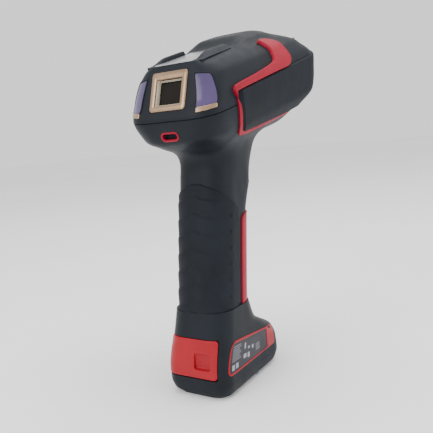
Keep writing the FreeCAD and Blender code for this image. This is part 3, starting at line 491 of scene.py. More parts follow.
# %% Upper housing
SEAM_BEVEL = 0.4
s_loop = loop_s()
upper_levels = np.concatenate([[0, 0, SEAM_BEVEL], np.linspace(1.2, 20, 22),
                               np.linspace(20.3, HEAD_TOP, 12),
                               HEAD_TOP + CAP_RUN * np.linspace(0, 1, 17)[1:]])
upper_grid = head_point(upper_levels[:, None] + 0 * s_loop, s_loop + 0 * upper_levels[:, None])
upper_grid[0, :, 1] *= 0.0
upper_grid[1] = upper_grid[2] * [0.994, 0.985, 0] + [0.35, 0, 0]
upper = new_piece("upper_housing_shell", to_row(upper_grid, HEAD),
                  grid_faces(*upper_grid.shape[:2], wrap=True), slot="black_plastic",
                  replaces=["upper_housing"])
print("upper housing:", len(upper.data.polygons), "faces")

# %% [markdown]
# The pocket for the rear display, the channel on the back and the nose window are carved, because
# a carved edge is as crisp as a moulded one. The pocket lies square to the slanted rear face, so
# it has a frame of its own.

# %% Carve the upper housing
REAR_TILT = math.atan(REAR_SLOPE)
NOSE_TILT = math.atan(NOSE_SLOPE)


def within(outer, angle, origin):
    """Return a frame turned by an angle about Y at a local origin of another frame."""
    turn, base = outer
    return turn @ turned(angle), base + turn @ np.array(origin, float)


REAR = within(HEAD, REAR_TILT, (0, 0, 0))
NOSE = within(HEAD, NOSE_TILT, (HEAD_LENGTH, 0, 0))
bezel_pocket = box_cutter((-3, -10.5, 5.3), (3.4, 10.5, 25.4), REAR, radius=1.2)
channel = box_cutter((14.0, -11.3, 23.8), (51, 11.3, 32), HEAD, radius=0.5)


def nose_opening(inner, outer):
    """Return the cutter of the scan window, from an inner to an outer depth at the nose."""
    return box_cutter((inner, -20.5, -9.6), (outer, 20.5, 14.6), NOSE, radius=1.5)


carve(upper, [bezel_pocket, channel, nose_opening(-5, 6)])
print("carved upper housing:", len(upper.data.polygons), "faces")

# %% [markdown]
# ## Lower housing
# The lower housing is the belly of the head and the handle in one moulding. The two forms are
# merged by a fine remesh, and the crease between them is relaxed into the fillet that a
# moulded part has. The seam, the trigger slot and the openings are cut after that.

# %% Belly and handle
BELLY_ROUND = 5.0
t_round = np.linspace(0, math.pi / 2, 8)
belly_levels = np.concatenate([HEAD_BELLY + BELLY_ROUND * (1 - np.cos(t_round)),
                               np.linspace(HEAD_BELLY + BELLY_ROUND, 2.5, 24)[1:]])
belly_inset = np.concatenate([BELLY_ROUND * (1 - np.sin(t_round)), np.zeros(23)])
belly_rows = head_form.points(belly_levels[:, None] + 0 * s_loop,
                              s_loop + 0 * belly_levels[:, None])
centre = belly_rows.mean(axis=1, keepdims=True)
outward = (belly_rows - centre) * [1, 1, 0]
outward /= np.maximum(np.linalg.norm(outward, axis=-1, keepdims=True), 1e-9)
belly_rows = zipped(belly_rows - outward * belly_inset[:, None, None])
grip_levels = np.linspace(-60, 54, 90)
grip_rows = zipped(grip_form.points(grip_levels[:, None] + 0 * s_loop,
                                    s_loop + 0 * grip_levels[:, None]))
belly_count = belly_rows.shape[0] * belly_rows.shape[1]
lower = new_piece(
    "lower_housing_shell",
    np.concatenate([to_row(belly_rows, HEAD).reshape(-1, 3),
                    to_row(grip_rows, HANDLE).reshape(-1, 3)]),
    grid_faces(*belly_rows.shape[:2], wrap=True)
    + grid_faces(*grip_rows.shape[:2], start=belly_count, wrap=True),
    slot="black_plastic", replaces=["lower_housing"])

# %% Merge and relax
VOXEL = 0.9
FILLET_GAP = 9.0
FILLET_ROUNDS = 160


def positions(mesh):
    """Return the mesh's vertex positions as an array."""
    flat = np.empty(len(mesh.vertices) * 3)
    mesh.vertices.foreach_get("co", flat)
    return flat.reshape(-1, 3)


def relax(mesh, weight, rounds):
    """Move each vertex towards the mean of its neighbours: p += weight (mean - p)."""
    edges = np.empty(len(mesh.edges) * 2, int)
    mesh.edges.foreach_get("vertices", edges)
    first, second = edges.reshape(-1, 2).T
    points = positions(mesh)
    degree = np.bincount(edges, minlength=len(points)).astype(float)
    for _ in range(rounds):
        total = np.stack([np.bincount(first, points[second, axis], len(points))
                          + np.bincount(second, points[first, axis], len(points))
                          for axis in range(3)], axis=1)
        points += weight[:, None] * (total / degree[:, None] - points)
    mesh.vertices.foreach_set("co", points.ravel())
    mesh.update()


def grip_gap(points):
    """Return how far points of the row frame lie outside the grip's outline, in mm."""
    local = (points / MM - HANDLE[1]) @ HANDLE[0]
    x, y = local[:, 0], np.abs(local[:, 1])
    level = np.clip(local[:, 2], -60, 54)
    s = grip_form.s_at(level, x)
    edge_x, edge_y = grip_form.around(level, s)
    return np.hypot(np.maximum(y - edge_y, 0), x - edge_x), local[:, 2]


remesh = lower.modifiers.new("merge", "REMESH")
remesh.mode = "VOXEL"
remesh.voxel_size = VOXEL * MM
ready = lower.evaluated_get(bpy.context.evaluated_depsgraph_get())
merged = bpy.data.meshes.new_from_object(ready)
lower.modifiers.clear()
lower.data = merged
relax(merged, np.full(len(merged.vertices), 0.5), 4)
spots = positions(merged)
gap, height = grip_gap(spots)
in_head = (spots / MM - HEAD[1]) @ HEAD[0]
near = (np.exp(-(gap / FILLET_GAP) ** 2) * soft_step((height - 20) / 8)
        * soft_step((-6 - in_head[:, 2]) / 5))
relax(merged, 0.5 * near, FILLET_ROUNDS)
print("lower housing:", len(merged.vertices), "points")

# %% Carve the lower housing
lower_cuts = [
    box_cutter((-40, -60, -0.12), (160, 60, 30), HEAD),
    nose_opening(-5, 6),
    box_cutter((-3, -4.6, -8.8), (3, 4.6, -5.8), HEAD, radius=1.2),
    box_cutter((8, -8, 4.6), (40, 8, 36.9), HANDLE, radius=1.0),
]
lower_cuts += [rod_cutter(2.3, (88.0, y, -40), (88.0, y, -16.0), HEAD) for y in (-12, 12)]
carve(lower, lower_cuts)
print("carved lower housing:", len(lower.data.polygons), "faces")

# %% [markdown]
# ## Foot
# The foot flares from the handle to a wide shoe with a rounded heel and a blunt nose. The latch
# opening and the battery well are cut through it.

# %% Foot shell
shroud_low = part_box("base_shroud")[0][2] / MM
foot_levels = np.concatenate([[shroud_low], np.linspace(shroud_low + 0.3, 44, 72)])
foot_rows = zipped(foot_form.points(foot_levels[:, None] + 0 * s_loop,
                                    s_loop + 0 * foot_levels[:, None]))
foot = new_piece("base_shroud_shell", to_row(foot_rows, FOOT),
                 grid_faces(*foot_rows.shape[:2], wrap=True), slot="black_plastic",
                 replaces=["base_shroud"])
latch_box = [np.array(corner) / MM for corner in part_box("battery_latch")]
LATCH_LOW, LATCH_HIGH = latch_box[0][2], latch_box[1][2] + 1.6
LATCH_RIGHT = latch_box[0][1] - 3.2
LATCH_FRONT = -29.0
carve(foot, [box_cutter((-60, LATCH_RIGHT - 0.3, LATCH_LOW - 0.6),
                          (LATCH_FRONT + 0.4, 60, LATCH_HIGH + 0.35), FOOT, radius=1.6),
               box_cutter((-9.2, -11.6, -120), (13.0, 11.6, 2), HANDLE)])
print("foot:", len(foot.data.polygons), "faces")

# %% [markdown]
# ## Skins laid on the forms
# A bumper, trim or window follows the body under it. Its grid is drawn in the form's own
# coordinates, so it fits without any gap. The height falls off near the border as a quarter
# circle, which gives the soft lip of a moulded skin. A rounded patch narrows its rows near its
# two ends, so its corners are arcs.


# %% Patch makers
def curve(table, at):
    """Return the smooth curve through rows of (place, value, ...) at places."""
    table = np.array(table, float)
    return smooth_table(table[:, 0], table[:, 1:], at)


def unrolled(q):
    """Return s for a place q that runs on past the nose: 5 is the nose, 10 is the rear."""
    return np.where(q <= 5, q, q - 10)


def both_sides(edge):
    """Return an edge that ends at the nose with its mirror image after it: q becomes 10 - q."""
    return edge + [(10 - q, v) for q, v in edge[-2::-1]]


def band(q, low, high, across):
    """Return v and s of a band: q runs along the columns, v between two curves of q."""
    v_low, v_high = curve(low, q)[:, 0], curve(high, q)[:, 0]
    v = v_low + (v_high - v_low) * across[:, None]
    return v, unrolled(q) + 0 * v


def ribbon(edge_a, edge_b, across, count):
    """Return v and s between two edges of the head, each a list of (x, v) of equal length.

    The place along is the running length of the middle line, and p = a (1 - f) + b f.
    """
    a, b = np.array(edge_a, float), np.array(edge_b, float)
    run = np.concatenate([[0], np.cumsum(np.linalg.norm(np.diff((a + b) / 2, axis=0), axis=1))])
    even = np.linspace(0, run[-1], count)
    a, b = smooth_table(run, a, even), smooth_table(run, b, even)
    grid = a[None] + (b - a)[None] * across[:, None, None]
    x, v = grid[..., 0], grid[..., 1]
    return v, head_form.s_at(np.minimum(v, HEAD_TOP), x)


def rounded_patch(width, height, radius, columns, rows, edge=0.8):
    """Return a, b and the distance to the border of a rounded rectangle's grid, in mm.

    Row b is inset by r - sqrt(r^2 - (r - t)^2), where t is its distance to the nearer end.
    """
    b = height * eased(rows, max(edge, radius) / height)
    t = np.minimum(np.minimum(b, height - b), radius)
    inset = radius - np.sqrt(np.maximum(radius ** 2 - (radius - t) ** 2, 0))
    g = eased(columns, edge / width)
    a = inset[:, None] + (width - 2 * inset[:, None]) * g
    b = b[:, None] + 0 * a
    qa = np.abs(a - width / 2) - (width / 2 - radius)
    qb = np.abs(b - height / 2) - (height / 2 - radius)
    out = np.hypot(np.maximum(qa, 0), np.maximum(qb, 0)) + np.minimum(np.maximum(qa, qb), 0)
    return a, b, np.maximum(radius - out, 0)


def border_distance(points):
    """Return each grid point's distance to the nearest border along rows and columns, in mm."""
    run_r = np.cumsum(np.linalg.norm(np.diff(points, axis=0), axis=-1), axis=0) / MM
    run_c = np.cumsum(np.linalg.norm(np.diff(points, axis=1), axis=-1), axis=1) / MM
    run_r = np.pad(run_r, ((1, 0), (0, 0)))
    run_c = np.pad(run_c, ((0, 0), (1, 0)))
    return np.minimum(np.minimum(run_r, run_r[-1:] - run_r),
                      np.minimum(run_c, run_c[:, -1:] - run_c))


def lay(name, point, place, v, s, height, edge=0.8, depth=0.7, distance=None, **options):
    """Lay a piece on a form: its height times a quarter-round lip, and its depth below."""
    local = point(v, s)
    points = to_row(local, place)
    distance = border_distance(points) if distance is None else distance
    rise = height * round_over(distance, edge)
    r, c = points.shape[0] // 2, points.shape[1] // 2
    ends = point(v[r, c], np.array([0.0, 5.0]))
    middle = to_row(np.array([ends[:, 0].mean(), 0, local[r, c, 2]]), place)
    flip = float(np.dot(normals_of(points)[r, c], points[r, c] - middle)) < 0
    return laid(name, points, rise, depth, flip=flip, **options)

# %% [markdown]
# ## Nose bumper and side trims
# The bumper wraps the front two thirds of the head and stands 1.6 mm proud. Its rear edge and
# its lower edge carry a thin red line. Its upper edge carries a red band, which widens forwards
# and ends in a hook that reaches up the side of the dome.

# %% Bumper
BUMP_Q = 2.1
BUMP_HEIGHT = 1.6
q = np.linspace(BUMP_Q, 10 - BUMP_Q, 260)
low_edge = both_sides([(BUMP_Q, -14.0), (2.2, -15.2), (2.9, -17.1), (5, -17.1)])
high_edge = both_sides([(BUMP_Q, 6.2), (2.85, 7.1), (3.3, 8.2), (3.65, 9.5), (4.0, 14.5),
                        (4.3, 17.5), (5, 18)])
v, s = band(q, low_edge, high_edge, eased(30, 0.05))
rear_x = curve([(-18, 26.8), (-14, 25.6), (-1, 23.2), (6.2, 24.6), (22, 25)], v[:, 0])[:, 0]
rear_q = head_form.s_at(v[:, 0], rear_x)[:, None]
along = (q - BUMP_Q) / (10 - 2 * BUMP_Q)
s = unrolled(rear_q + (10 - 2 * rear_q) * along)
bumper = lay("nose_bumper_skin", head_point, HEAD, v, s, BUMP_HEIGHT, edge=1.3, depth=0.8,
             slot="black_rubber", replaces=["nose_bumper"])
carve(bumper, [nose_opening(-8, 12)])

# %% Side trims
trim_outer = [(75, -18.6), (50, -17.7), (28.5, -16.3), (24.8, -15.6), (23.3, -13.2), (21.6, -1),
              (22.4, 5.6), (24.4, 6.1), (42, 6.5), (60, 6.8), (72, 7.0), (77.6, 10.3),
              (78.6, 15), (79.0, 18.5), (75.0, 21.2), (69.0, 22.4)]
trim_inner = [(75, -17.1), (50, -16.2), (28.9, -14.8), (27.0, -14.0), (25.6, -12.6), (23.5, -1),
              (20.8, 7.2), (23.0, 9.2), (42, 10.2), (60, 11.8), (63.5, 13.6), (65.6, 16.5),
              (66.8, 18.2), (67.0, 19.6), (67.2, 21.0), (66.6, 22.0)]
v, s = ribbon(trim_outer, trim_inner, eased(9, 0.22), 220)
for label, way in (("left", 1), ("right", -1)):
    lay("side_trim_%s_band" % label, head_point, HEAD, v, s * way, 1.75, edge=0.5, depth=0.8,
        slot="red_rubber", replaces=["side_trim_%s" % label])
print("bumper and trims laid")

# %% [markdown]
# ## Side windows
# A violet window wraps each rear corner of the upper housing. A thin dark frame stands around
# it, and a champagne sill closes its lower edge.

# %% Side windows
WINDOW = (13.5, 13.6, 1.6)
CORNER_POINTS = 8
STRAIGHT_STEPS = 12
window_a, window_b, window_rim = rounded_patch(*WINDOW, 26, 26, edge=0.6)


def window_place(a, b):
    """Return v and s of a window's point: s and v grow evenly with a and b."""
    f, g = a / WINDOW[0], b / WINDOW[1]
    rear, front = 1.17 - 0.05 * g, 1.69 - 0.15 * g
    return 4.7 + (14.2 - 1.5 * f) * g, rear + (front - rear) * f


def loop_points(width, height, radius, margin):
    """Return (a, b) round a rounded rectangle whose border is moved outwards by a margin."""
    r = max(radius + margin, 0.05)
    corners = [(width + margin - r, height + margin - r, 0), (r - margin, height + margin - r, 1),
               (r - margin, r - margin, 2), (width + margin - r, r - margin, 3)]
    path = []
    for ca, cb, quarter in corners:
        t = (np.linspace(0, 1, CORNER_POINTS) + quarter) * math.pi / 2
        path += list(zip(ca + r * np.cos(t), cb + r * np.sin(t)))
    path = np.array(path + path[:1])
    spots = []
    for start, end in zip(path[:-1], path[1:]):
        chord = r * math.pi / (2 * CORNER_POINTS)
        steps = STRAIGHT_STEPS if np.linalg.norm(end - start) > 2.5 * chord else 1
        spots += [start + (end - start) * k / steps for k in range(steps)]
    return np.array(spots)


def ring_on(name, surface, sizes, profile, **options):
    """Make a closed ring on a surface. Each profile step is (margin, height) in mm.

    A point is P(a, b) + N h, where N is the surface's unit normal from small steps in a and b.
    """
    width, height, radius = sizes[:3]
    shrink = sizes[3] if len(sizes) > 3 else (lambda spots, margin: spots)
    rows = []
    for margin, rise in profile:
        spots = shrink(loop_points(width, height, radius, margin), margin)
        rows.append(surface(spots[:, 0], spots[:, 1], rise))
    grid = np.array(rows + rows[:1])
    return new_piece(name, grid, grid_faces(*grid.shape[:2], wrap=True), **options)


def on_form(point, place, mapping, way=1):
    """Return a function that gives row points at (a, b) and a height above the form."""
    def surface(a, b, rise):
        step = 0.05
        here, east, north = [to_row(point(*signed(a + da, b + db)), place)
                             for da, db in ((0, 0), (step, 0), (0, step))]
        normal = np.cross(east - here, north - here)
        normal /= np.linalg.norm(normal, axis=-1, keepdims=True)
        mid = here.mean(axis=0) * [1, 0, 1]
        out = here.mean(axis=0) - mid
        sign = 1.0 if float(normal.mean(axis=0) @ out) > 0 else -1.0
        return here + sign * normal * rise * MM

    def signed(a, b):
        v_, s_ = mapping(a, b)
        return v_, s_ * way
    return surface


FRAME_PROFILE = [(0.9, -0.6), (0.9, 0.25), (0.75, 0.4), (0.25, 0.4), (0.05, 0.2), (0.05, -0.6)]
v, s = window_place(window_a, window_b)
for label, way in (("left", 1), ("right", -1)):
    lay("indicator_window_%s_pane" % label, head_point, HEAD, v, s * way, 0.12, edge=0.4,
        distance=window_rim, slot="violet_window", replaces=["indicator_window_%s" % label])
    ring_on("window_frame_%s" % label, on_form(head_point, HEAD, window_place, way),
            WINDOW, FRAME_PROFILE, slot="black_plastic")
    sill_v, sill_s = window_place(window_a, window_b * 0.14 - 1.9)
    lay("window_sill_%s" % label, head_point, HEAD, sill_v, sill_s * way, 0.5, edge=0.5,
        slot="bezel_metallic")
print("side windows laid")

# %% [markdown]
# ## Rear display
# The display sits in a champagne bezel with a milky liner round a smoked window. The rings are
# drawn in the plane of the slanted face: x is the depth, and the loops step over the rim.

# %% Bezel, liner and window


def in_plane(place, low, half):
    """Return a surface function of a plane: a runs along y from -half, b up from low."""
    def surface(a, b, rise):
        return to_row(np.stack([-rise + 0 * a, a - half, b + low], axis=-1), place)
    return surface


def upright_lip(spots, margin):
    """Keep the upper rim of the bezel wider than the others, as the opening is set lower."""
    lowered = spots.copy()
    if margin < -0.5:
        lowered[:, 1] -= 1.0 * soft_step((spots[:, 1] - 8) / 6)
    return lowered


BEZEL = (20.8, 19.8, 1.6, upright_lip)
ring_on("rear_bezel_ring", in_plane(REAR, 5.4, 10.4), BEZEL,
        [(0, -1.4), (0, 0.35), (-0.15, 0.7), (-0.45, 0.9), (-2.5, 0.9), (-2.8, 0.75),
         (-3.0, 0.3), (-3.1, -1.4)], slot="bezel_metallic", replaces=["rear_bezel"])
ring_on("bezel_liner_ring", in_plane(REAR, 8.2, 7.6), (15.2, 13.6, 1.0),
        [(0, -3.0), (0, 0.1), (-0.35, 0.1), (-0.6, -0.2), (-0.95, -2.4), (-0.95, -3.0)],
        slot="white_diffuser", replaces=["bezel_liner"])
pane_a, pane_b, pane_rim = rounded_patch(13.6, 12.0, 0.8, 10, 10, edge=0.4)
pane_points = to_row(np.stack([2.2 - 0.15 * round_over(pane_rim, 0.4), pane_a - 6.8,
                               pane_b + 9.0], axis=-1), REAR)
laid("status_window_pane", pane_points, 0 * pane_a, 0.8,
     flip=float(normals_of(pane_points)[5, 5] @ (REAR[0] @ [1, 0, 0])) > 0,
     slot="dark_window", replaces=["status_window"])

# %% Lanyard ring
ring_on("lanyard_grommet_ring", in_plane(within(HEAD, math.radians(-2), (0.35, 0, -7.3)), -2.4,
                                         5.2), (10.4, 4.8, 2.35),
        [(0, -1.2), (0, 0.2), (-0.2, 0.42), (-0.7, 0.42), (-1.0, 0.1), (-1.0, -1.2)],
        slot="red_rubber", replaces=["lanyard_grommet"])

# %% Strip on the back
strip_a, strip_b, strip_rim = rounded_patch(34.4, 22.4, 1.0, 20, 12, edge=0.5)
strip_points = to_row(np.stack([strip_a + 16.3, strip_b - 11.2,
                                24.1 + 0.35 * round_over(strip_rim, 0.5)], axis=-1), HEAD)
laid("top_strip_panel", strip_points, 0 * strip_a, 0.6,
     flip=float(normals_of(strip_points)[8, 8] @ (HEAD[0] @ [0, 0, 1])) < 0,
     slot="strip_silver", replaces=["top_strip"])

# %% Rails beside the strip
rail_a, rail_b, rail_rim = rounded_patch(29.0, 5.6, 0.8, 40, 18, edge=0.7)
for label, way in (("left", 1), ("right", -1)):
    crest = (2.6 * round_over(rail_rim, 0.9) * soft_step((rail_a + 1) / 13)
             * soft_step((6.4 - rail_b) / 4.6))
    rail_points = to_row(np.stack([rail_a + 17.6, way * (rail_b + 11.2), 23.9 + crest], axis=-1),
                         HEAD)
    laid("back_rail_%s" % label, rail_points, 0 * rail_a, 1.2,
         flip=float(normals_of(rail_points)[8, 8] @ (HEAD[0] @ [0, 0, 1])) < 0,
         slot="black_plastic")
print("rear display, lanyard ring and strip made")

# %% [markdown]
# ## Grip
# A soft sleeve covers the back and the flanks of the handle. Scallops run down from the spine
# every 9 mm, and a column of small dots stands along each front edge. A red strip closes the
# front, under the trigger.

# %% Grip sleeve
RIB_STEP = 9.1
SLEEVE_FRONT = 2.45
SLEEVE_LOW = -53.5
DOT_R = 1.15
DOT_RISE = 0.65
DOT_LOW = -40.5
DOT_STEP = 8.26
DOT_S = 1.87


def sleeve_top(s_abs):
    """Return the height of the sleeve's arched top edge."""
    return 16.5 - 11.5 * soft_step((s_abs - 0.8) / 1.75)


def sleeve_relief(v, s_abs):
    """Return the scallops: a slow rise and a quick fall each step, which fades to the front."""
    fall = 5.0 * (s_abs / 1.9) ** 1.7
    phase = (v + fall + 52.0) / RIB_STEP
    part = phase - np.floor(phase)
    wave = soft_step(part / 0.72) * (1 - soft_step((part - 0.78) / 0.22))
    return 0.75 * wave * (1 - soft_step((s_abs - 1.3) / 0.5)) * soft_step((13 - v) / 5)


s_line = np.linspace(-SLEEVE_FRONT, SLEEVE_FRONT, 200)
f_rows = eased(230, 0.012)
top = sleeve_top(np.abs(s_line))
v = SLEEVE_LOW + (top - SLEEVE_LOW) * f_rows[:, None]
s = s_line + 0 * v
relief = 0.75 + sleeve_relief(v, np.abs(s))
spots = grip_point(v, s)
for dot_index in range(6):
    for way in (1, -1):
        dot = grip_point(np.array(DOT_LOW + DOT_STEP * dot_index), np.array(DOT_S * way))
        away = np.linalg.norm(spots - dot, axis=-1)
        relief += DOT_RISE * np.sqrt(np.clip(1 - (away / DOT_R) ** 2, 0, 1))
lay("grip_sleeve_skin", grip_point, HANDLE, v, s, relief, edge=0.7, depth=0.6,
    slot="black_rubber", replaces=["grip_sleeve"])

# %% Front strip
v_line = np.concatenate([np.linspace(-57, -3, 70), np.linspace(-2.5, 4.6, 20)])
q_edge = curve([(-57, 2.5), (-51, 2.74), (-44, 2.8), (-2, 2.8), (1.5, 3.0), (3.6, 3.5),
                (4.6, 4.6)], v_line)[:, 0]
f = eased(20, 0.06)
q = q_edge[:, None] + (10 - 2 * q_edge[:, None]) * f
lay("front_strip_skin", grip_point, HANDLE, v_line[:, None] + 0 * q, unrolled(q), 0.8, edge=0.6,
    depth=0.5, slot="red_rubber", replaces=["front_strip"])
print("grip skins laid")

# %% [markdown]
# ## Battery latch and labels
# The red latch wraps the left heel corner. Its finger pocket is carved. Each flank has a label
# plate in a red frame, whose top edge falls towards the nose. Pale bars and blocks, which say
# nothing, stand where a label carries its print.

# %% Even paths round the foot
PATH_V = np.linspace(8, 34, 60)
PATH_STEPS = np.linspace(0, 1, 240)


def flank_map(start_y, end_x):
    """Return a function (v, share) -> q that walks evenly along the foot's outline.

    The walk starts where the outline has y = start_y near the heel and ends where x = end_x.
    Its table holds q at even shares of the running length, and it is read bilinearly.
    """
    table = []
    for level in PATH_V:
        q = np.linspace(-2.0, 3.9, 1600)
        track = foot_point(level + 0 * q, q)
        heel = q < 2
        q0 = np.interp(start_y, track[heel, 1], q[heel])
        q1 = float(foot_form.s_at(np.array(level), np.array(end_x)))
        fine = np.linspace(q0, q1, 900)
        line = foot_point(level + 0 * fine, fine)
        run = np.concatenate([[0], np.cumsum(np.linalg.norm(np.diff(line, axis=0), axis=1))])
        table.append(np.interp(PATH_STEPS * run[-1], run, fine))
    table = np.array(table)

    def read(v, share):
        i = np.clip((v - PATH_V[0]) / (PATH_V[1] - PATH_V[0]), 0, len(PATH_V) - 1.001)
        j = share * (len(PATH_STEPS) - 1.0)
        i0, j0 = i.astype(int), np.clip(j, 0, len(PATH_STEPS) - 2).astype(int)
        fi, fj = i - i0, j - j0
        return ((1 - fi) * ((1 - fj) * table[i0, j0] + fj * table[i0, j0 + 1])
                + fi * ((1 - fj) * table[i0 + 1, j0] + fj * table[i0 + 1, j0 + 1]))
    return read


# %% Latch
LATCH_RUN = 33.0
latch_walk = flank_map(LATCH_RIGHT, LATCH_FRONT)
latch_a, latch_b, latch_rim = rounded_patch(LATCH_RUN, LATCH_HIGH - LATCH_LOW, 2.0, 50, 34,
                                            edge=0.8)
latch_v = LATCH_LOW + latch_b
latch = lay("battery_latch_cap", foot_point, FOOT, latch_v,
            latch_walk(latch_v, latch_a / LATCH_RUN), 0.35, edge=0.9, depth=2.3,
            distance=latch_rim, body="latch", slot="red_plastic", replaces=["battery_latch"])
carve(latch, [box_cutter((-40, -9.6, LATCH_LOW + 4.4), (-33.8, 0.0, LATCH_LOW + 12.8), FOOT,
                           radius=1.3, segments=4)])
print("latch laid")

# %% Labels
LABEL = {"left": (18.3, 48.0, 1), "right": (17.8, 51.0, -1)}
LABEL_FRONT, LABEL_LOW, LABEL_HIGH, LABEL_DROP = 18.5, 12.4, 28.4, 4.8
HEIGHT = LABEL_HIGH - LABEL_LOW
# the print is generic: fine lines at the heel end, then blocks; (start, low, width, height) in mm
PRINT = [(2.4, 6.6 + 0.95 * line, 9.5 - 0.9 * (line % 3), 0.32) for line in range(8)]
PRINT += [(2.6, 2.2, 2.6, 2.8), (6.4, 2.2, 2.6, 2.8), (14.5, 4.6, 3.2, 2.4), (19.0, 3.6, 2.4, 3.0),
          (15.5, 9.6, 1.6, 3.2), (19.5, 8.6, 2.2, 1.4), (24.0, 7.4, 2.0, 2.2)]
PRINT += [(28.5, low, 4.6, 0.4) for low in (4.6, 5.8, 7.0, 8.2)]
for label, (heel_y, run, way) in LABEL.items():
    label_walk = flank_map(heel_y, LABEL_FRONT)

    def label_place(a, b):
        """Return v and s of a label's point: v falls along a under the sloping top edge."""
        top = HEIGHT - LABEL_DROP * np.clip(a / run, 0, 1)
        v_ = LABEL_LOW + b * top / HEIGHT
        return v_, label_walk(v_, a / run)

    def solid_end(spots, margin):
        """Leave the front of the frame solid: the inner loop stops short of the nose end."""
        moved = spots.copy()
        if margin < -0.5:
            moved[:, 0] = spots[:, 0] * (run - 9.1) / (run - 1.1)
        return moved

    surface = on_form(foot_point, FOOT, label_place, way)
    ring_on("label_frame_%s_ring" % label, surface, (run, HEIGHT, 2.4, solid_end),
            [(0, -0.6), (0, 0.12), (-0.15, 0.28), (-0.35, 0.32), (-0.8, 0.32), (-1.0, 0.2),
             (-1.1, -0.6)], slot="red_plastic", replaces=["label_frame_%s" % label])
    plate_a, plate_b, plate_rim = rounded_patch(run - 9.6, HEIGHT - 1.6, 1.5, 40, 16, edge=0.5)
    v, s = label_place(plate_a + 0.8, plate_b + 0.8)
    lay("label_plate_%s_panel" % label, foot_point, FOOT, v, s * way, 0.06, edge=0.3, depth=0.5,
        distance=plate_rim, slot="label_black", replaces=["label_plate_%s" % label])
    for number, (start, low, width, height) in enumerate(PRINT):
        ink_a, ink_b, ink_rim = rounded_patch(width, height, min(0.3, height / 3), 6, 4, edge=0.1)
        v, s = label_place(ink_a + start, ink_b + low)
        lay("label_print_%s_%02d" % (label, number), foot_point, FOOT, v, s * way, 0.1, edge=0.1,
            depth=0.3, distance=ink_rim, slot="label_black")
print("labels laid")

# %% [markdown]
# ## Materials
# Each material is named for what it is and how it was made. Grain and blotches are noise on
# Object coordinates, and their scale is given in millimetres. The grain sits in the bump, and
# slow blotches change the roughness and the tone, as handled plastic shows.

# %% Colours and nodes


def linear(code):
    """Turn an sRGB hex colour into linear RGBA: ((c + 0.055) / 1.055) ^ 2.4 above 0.04045."""
    c = np.array([int(code[i:i + 2], 16) for i in (1, 3, 5)]) / 255
    c = np.where(c <= 0.04045, c / 12.92, ((c + 0.055) / 1.055) ** 2.4)
    return (*c.tolist(), 1.0)


def add(tree, kind, inputs=None, **settings):
    """Add a node, set its properties and its inputs. A socket is linked, and a value is set."""
    made = tree.nodes.new("ShaderNode" + kind)
    for key, value in settings.items():
        setattr(made, key, value)
    for key, value in (inputs or {}).items():
        if isinstance(value, bpy.types.NodeSocket):
            tree.links.new(value, made.inputs[key])
        else:
            made.inputs[key].default_value = value
    return made


def noise(tree, size_mm, detail=3.0, stretch=(1, 1, 1)):
    """Return a noise value whose features are about size_mm wide in Object coordinates."""
    place = add(tree, "TexCoord").outputs["Object"]
    scaled = add(tree, "Mapping", {"Vector": place, "Scale": stretch}).outputs["Vector"]
    return add(tree, "TexNoise", {"Vector": scaled, "Scale": 0.5 / (size_mm * MM),
                                  "Detail": detail, "Roughness": 0.55}).outputs["Fac"]


def ramp(tree, value, low, high):
    """Map a noise value from 0.35..0.65, where most of it lies, to low..high."""
    return add(tree, "MapRange", {"Value": value, "From Min": 0.35, "From Max": 0.65,
                                  "To Min": low, "To Max": high}).outputs["Result"]


def mix(tree, factor, first, second):
    """Mix two colours by a factor."""
    node = add(tree, "Mix", data_type="RGBA")
    for key, value in ((0, factor), (6, first), (7, second)):
        if isinstance(value, bpy.types.NodeSocket):
            tree.links.new(value, node.inputs[key])
        else:
            node.inputs[key].default_value = value
    return node.outputs[2]


def moulded(name, colour, tone, rough, grain_mm, grain, extra=None, blotch_mm=14):
    """Make a moulded or lacquered material: grain in the bump, blotches in tone and gloss."""
    material = bpy.data.materials.new(name)
    material.use_nodes = True
    tree = material.node_tree
    tree.nodes.clear()
    fine = noise(tree, grain_mm, detail=4.0)
    slow = noise(tree, blotch_mm, detail=3.0)
    smear = noise(tree, blotch_mm / 4, detail=2.0, stretch=(1, 1, 0.4))
    base = mix(tree, ramp(tree, slow, 0, 1), linear(colour), linear(tone))
    gloss = add(tree, "Math", {0: ramp(tree, slow, rough - 0.04, rough + 0.05),
                               1: ramp(tree, smear, -0.03, 0.03)}, operation="ADD")
    bump = add(tree, "Bump", {"Strength": grain * 8, "Distance": 0.02 * MM * 4, "Height": fine})
    inputs = {"Base Color": base, "Roughness": gloss.outputs[0], "Normal": bump.outputs[0]}
    inputs.update(extra or {})
    shader = add(tree, "BsdfPrincipled", inputs)
    tree.links.new(shader.outputs[0], add(tree, "OutputMaterial").inputs["Surface"])
    return material


GLINT, COAT, COAT_ROUGH = "Specular IOR Level", "Coat Weight", "Coat Roughness"
DEEP, DEEP_SCALE = "Subsurface Weight", "Subsurface Scale"
METAL = {"Metallic": 1.0}
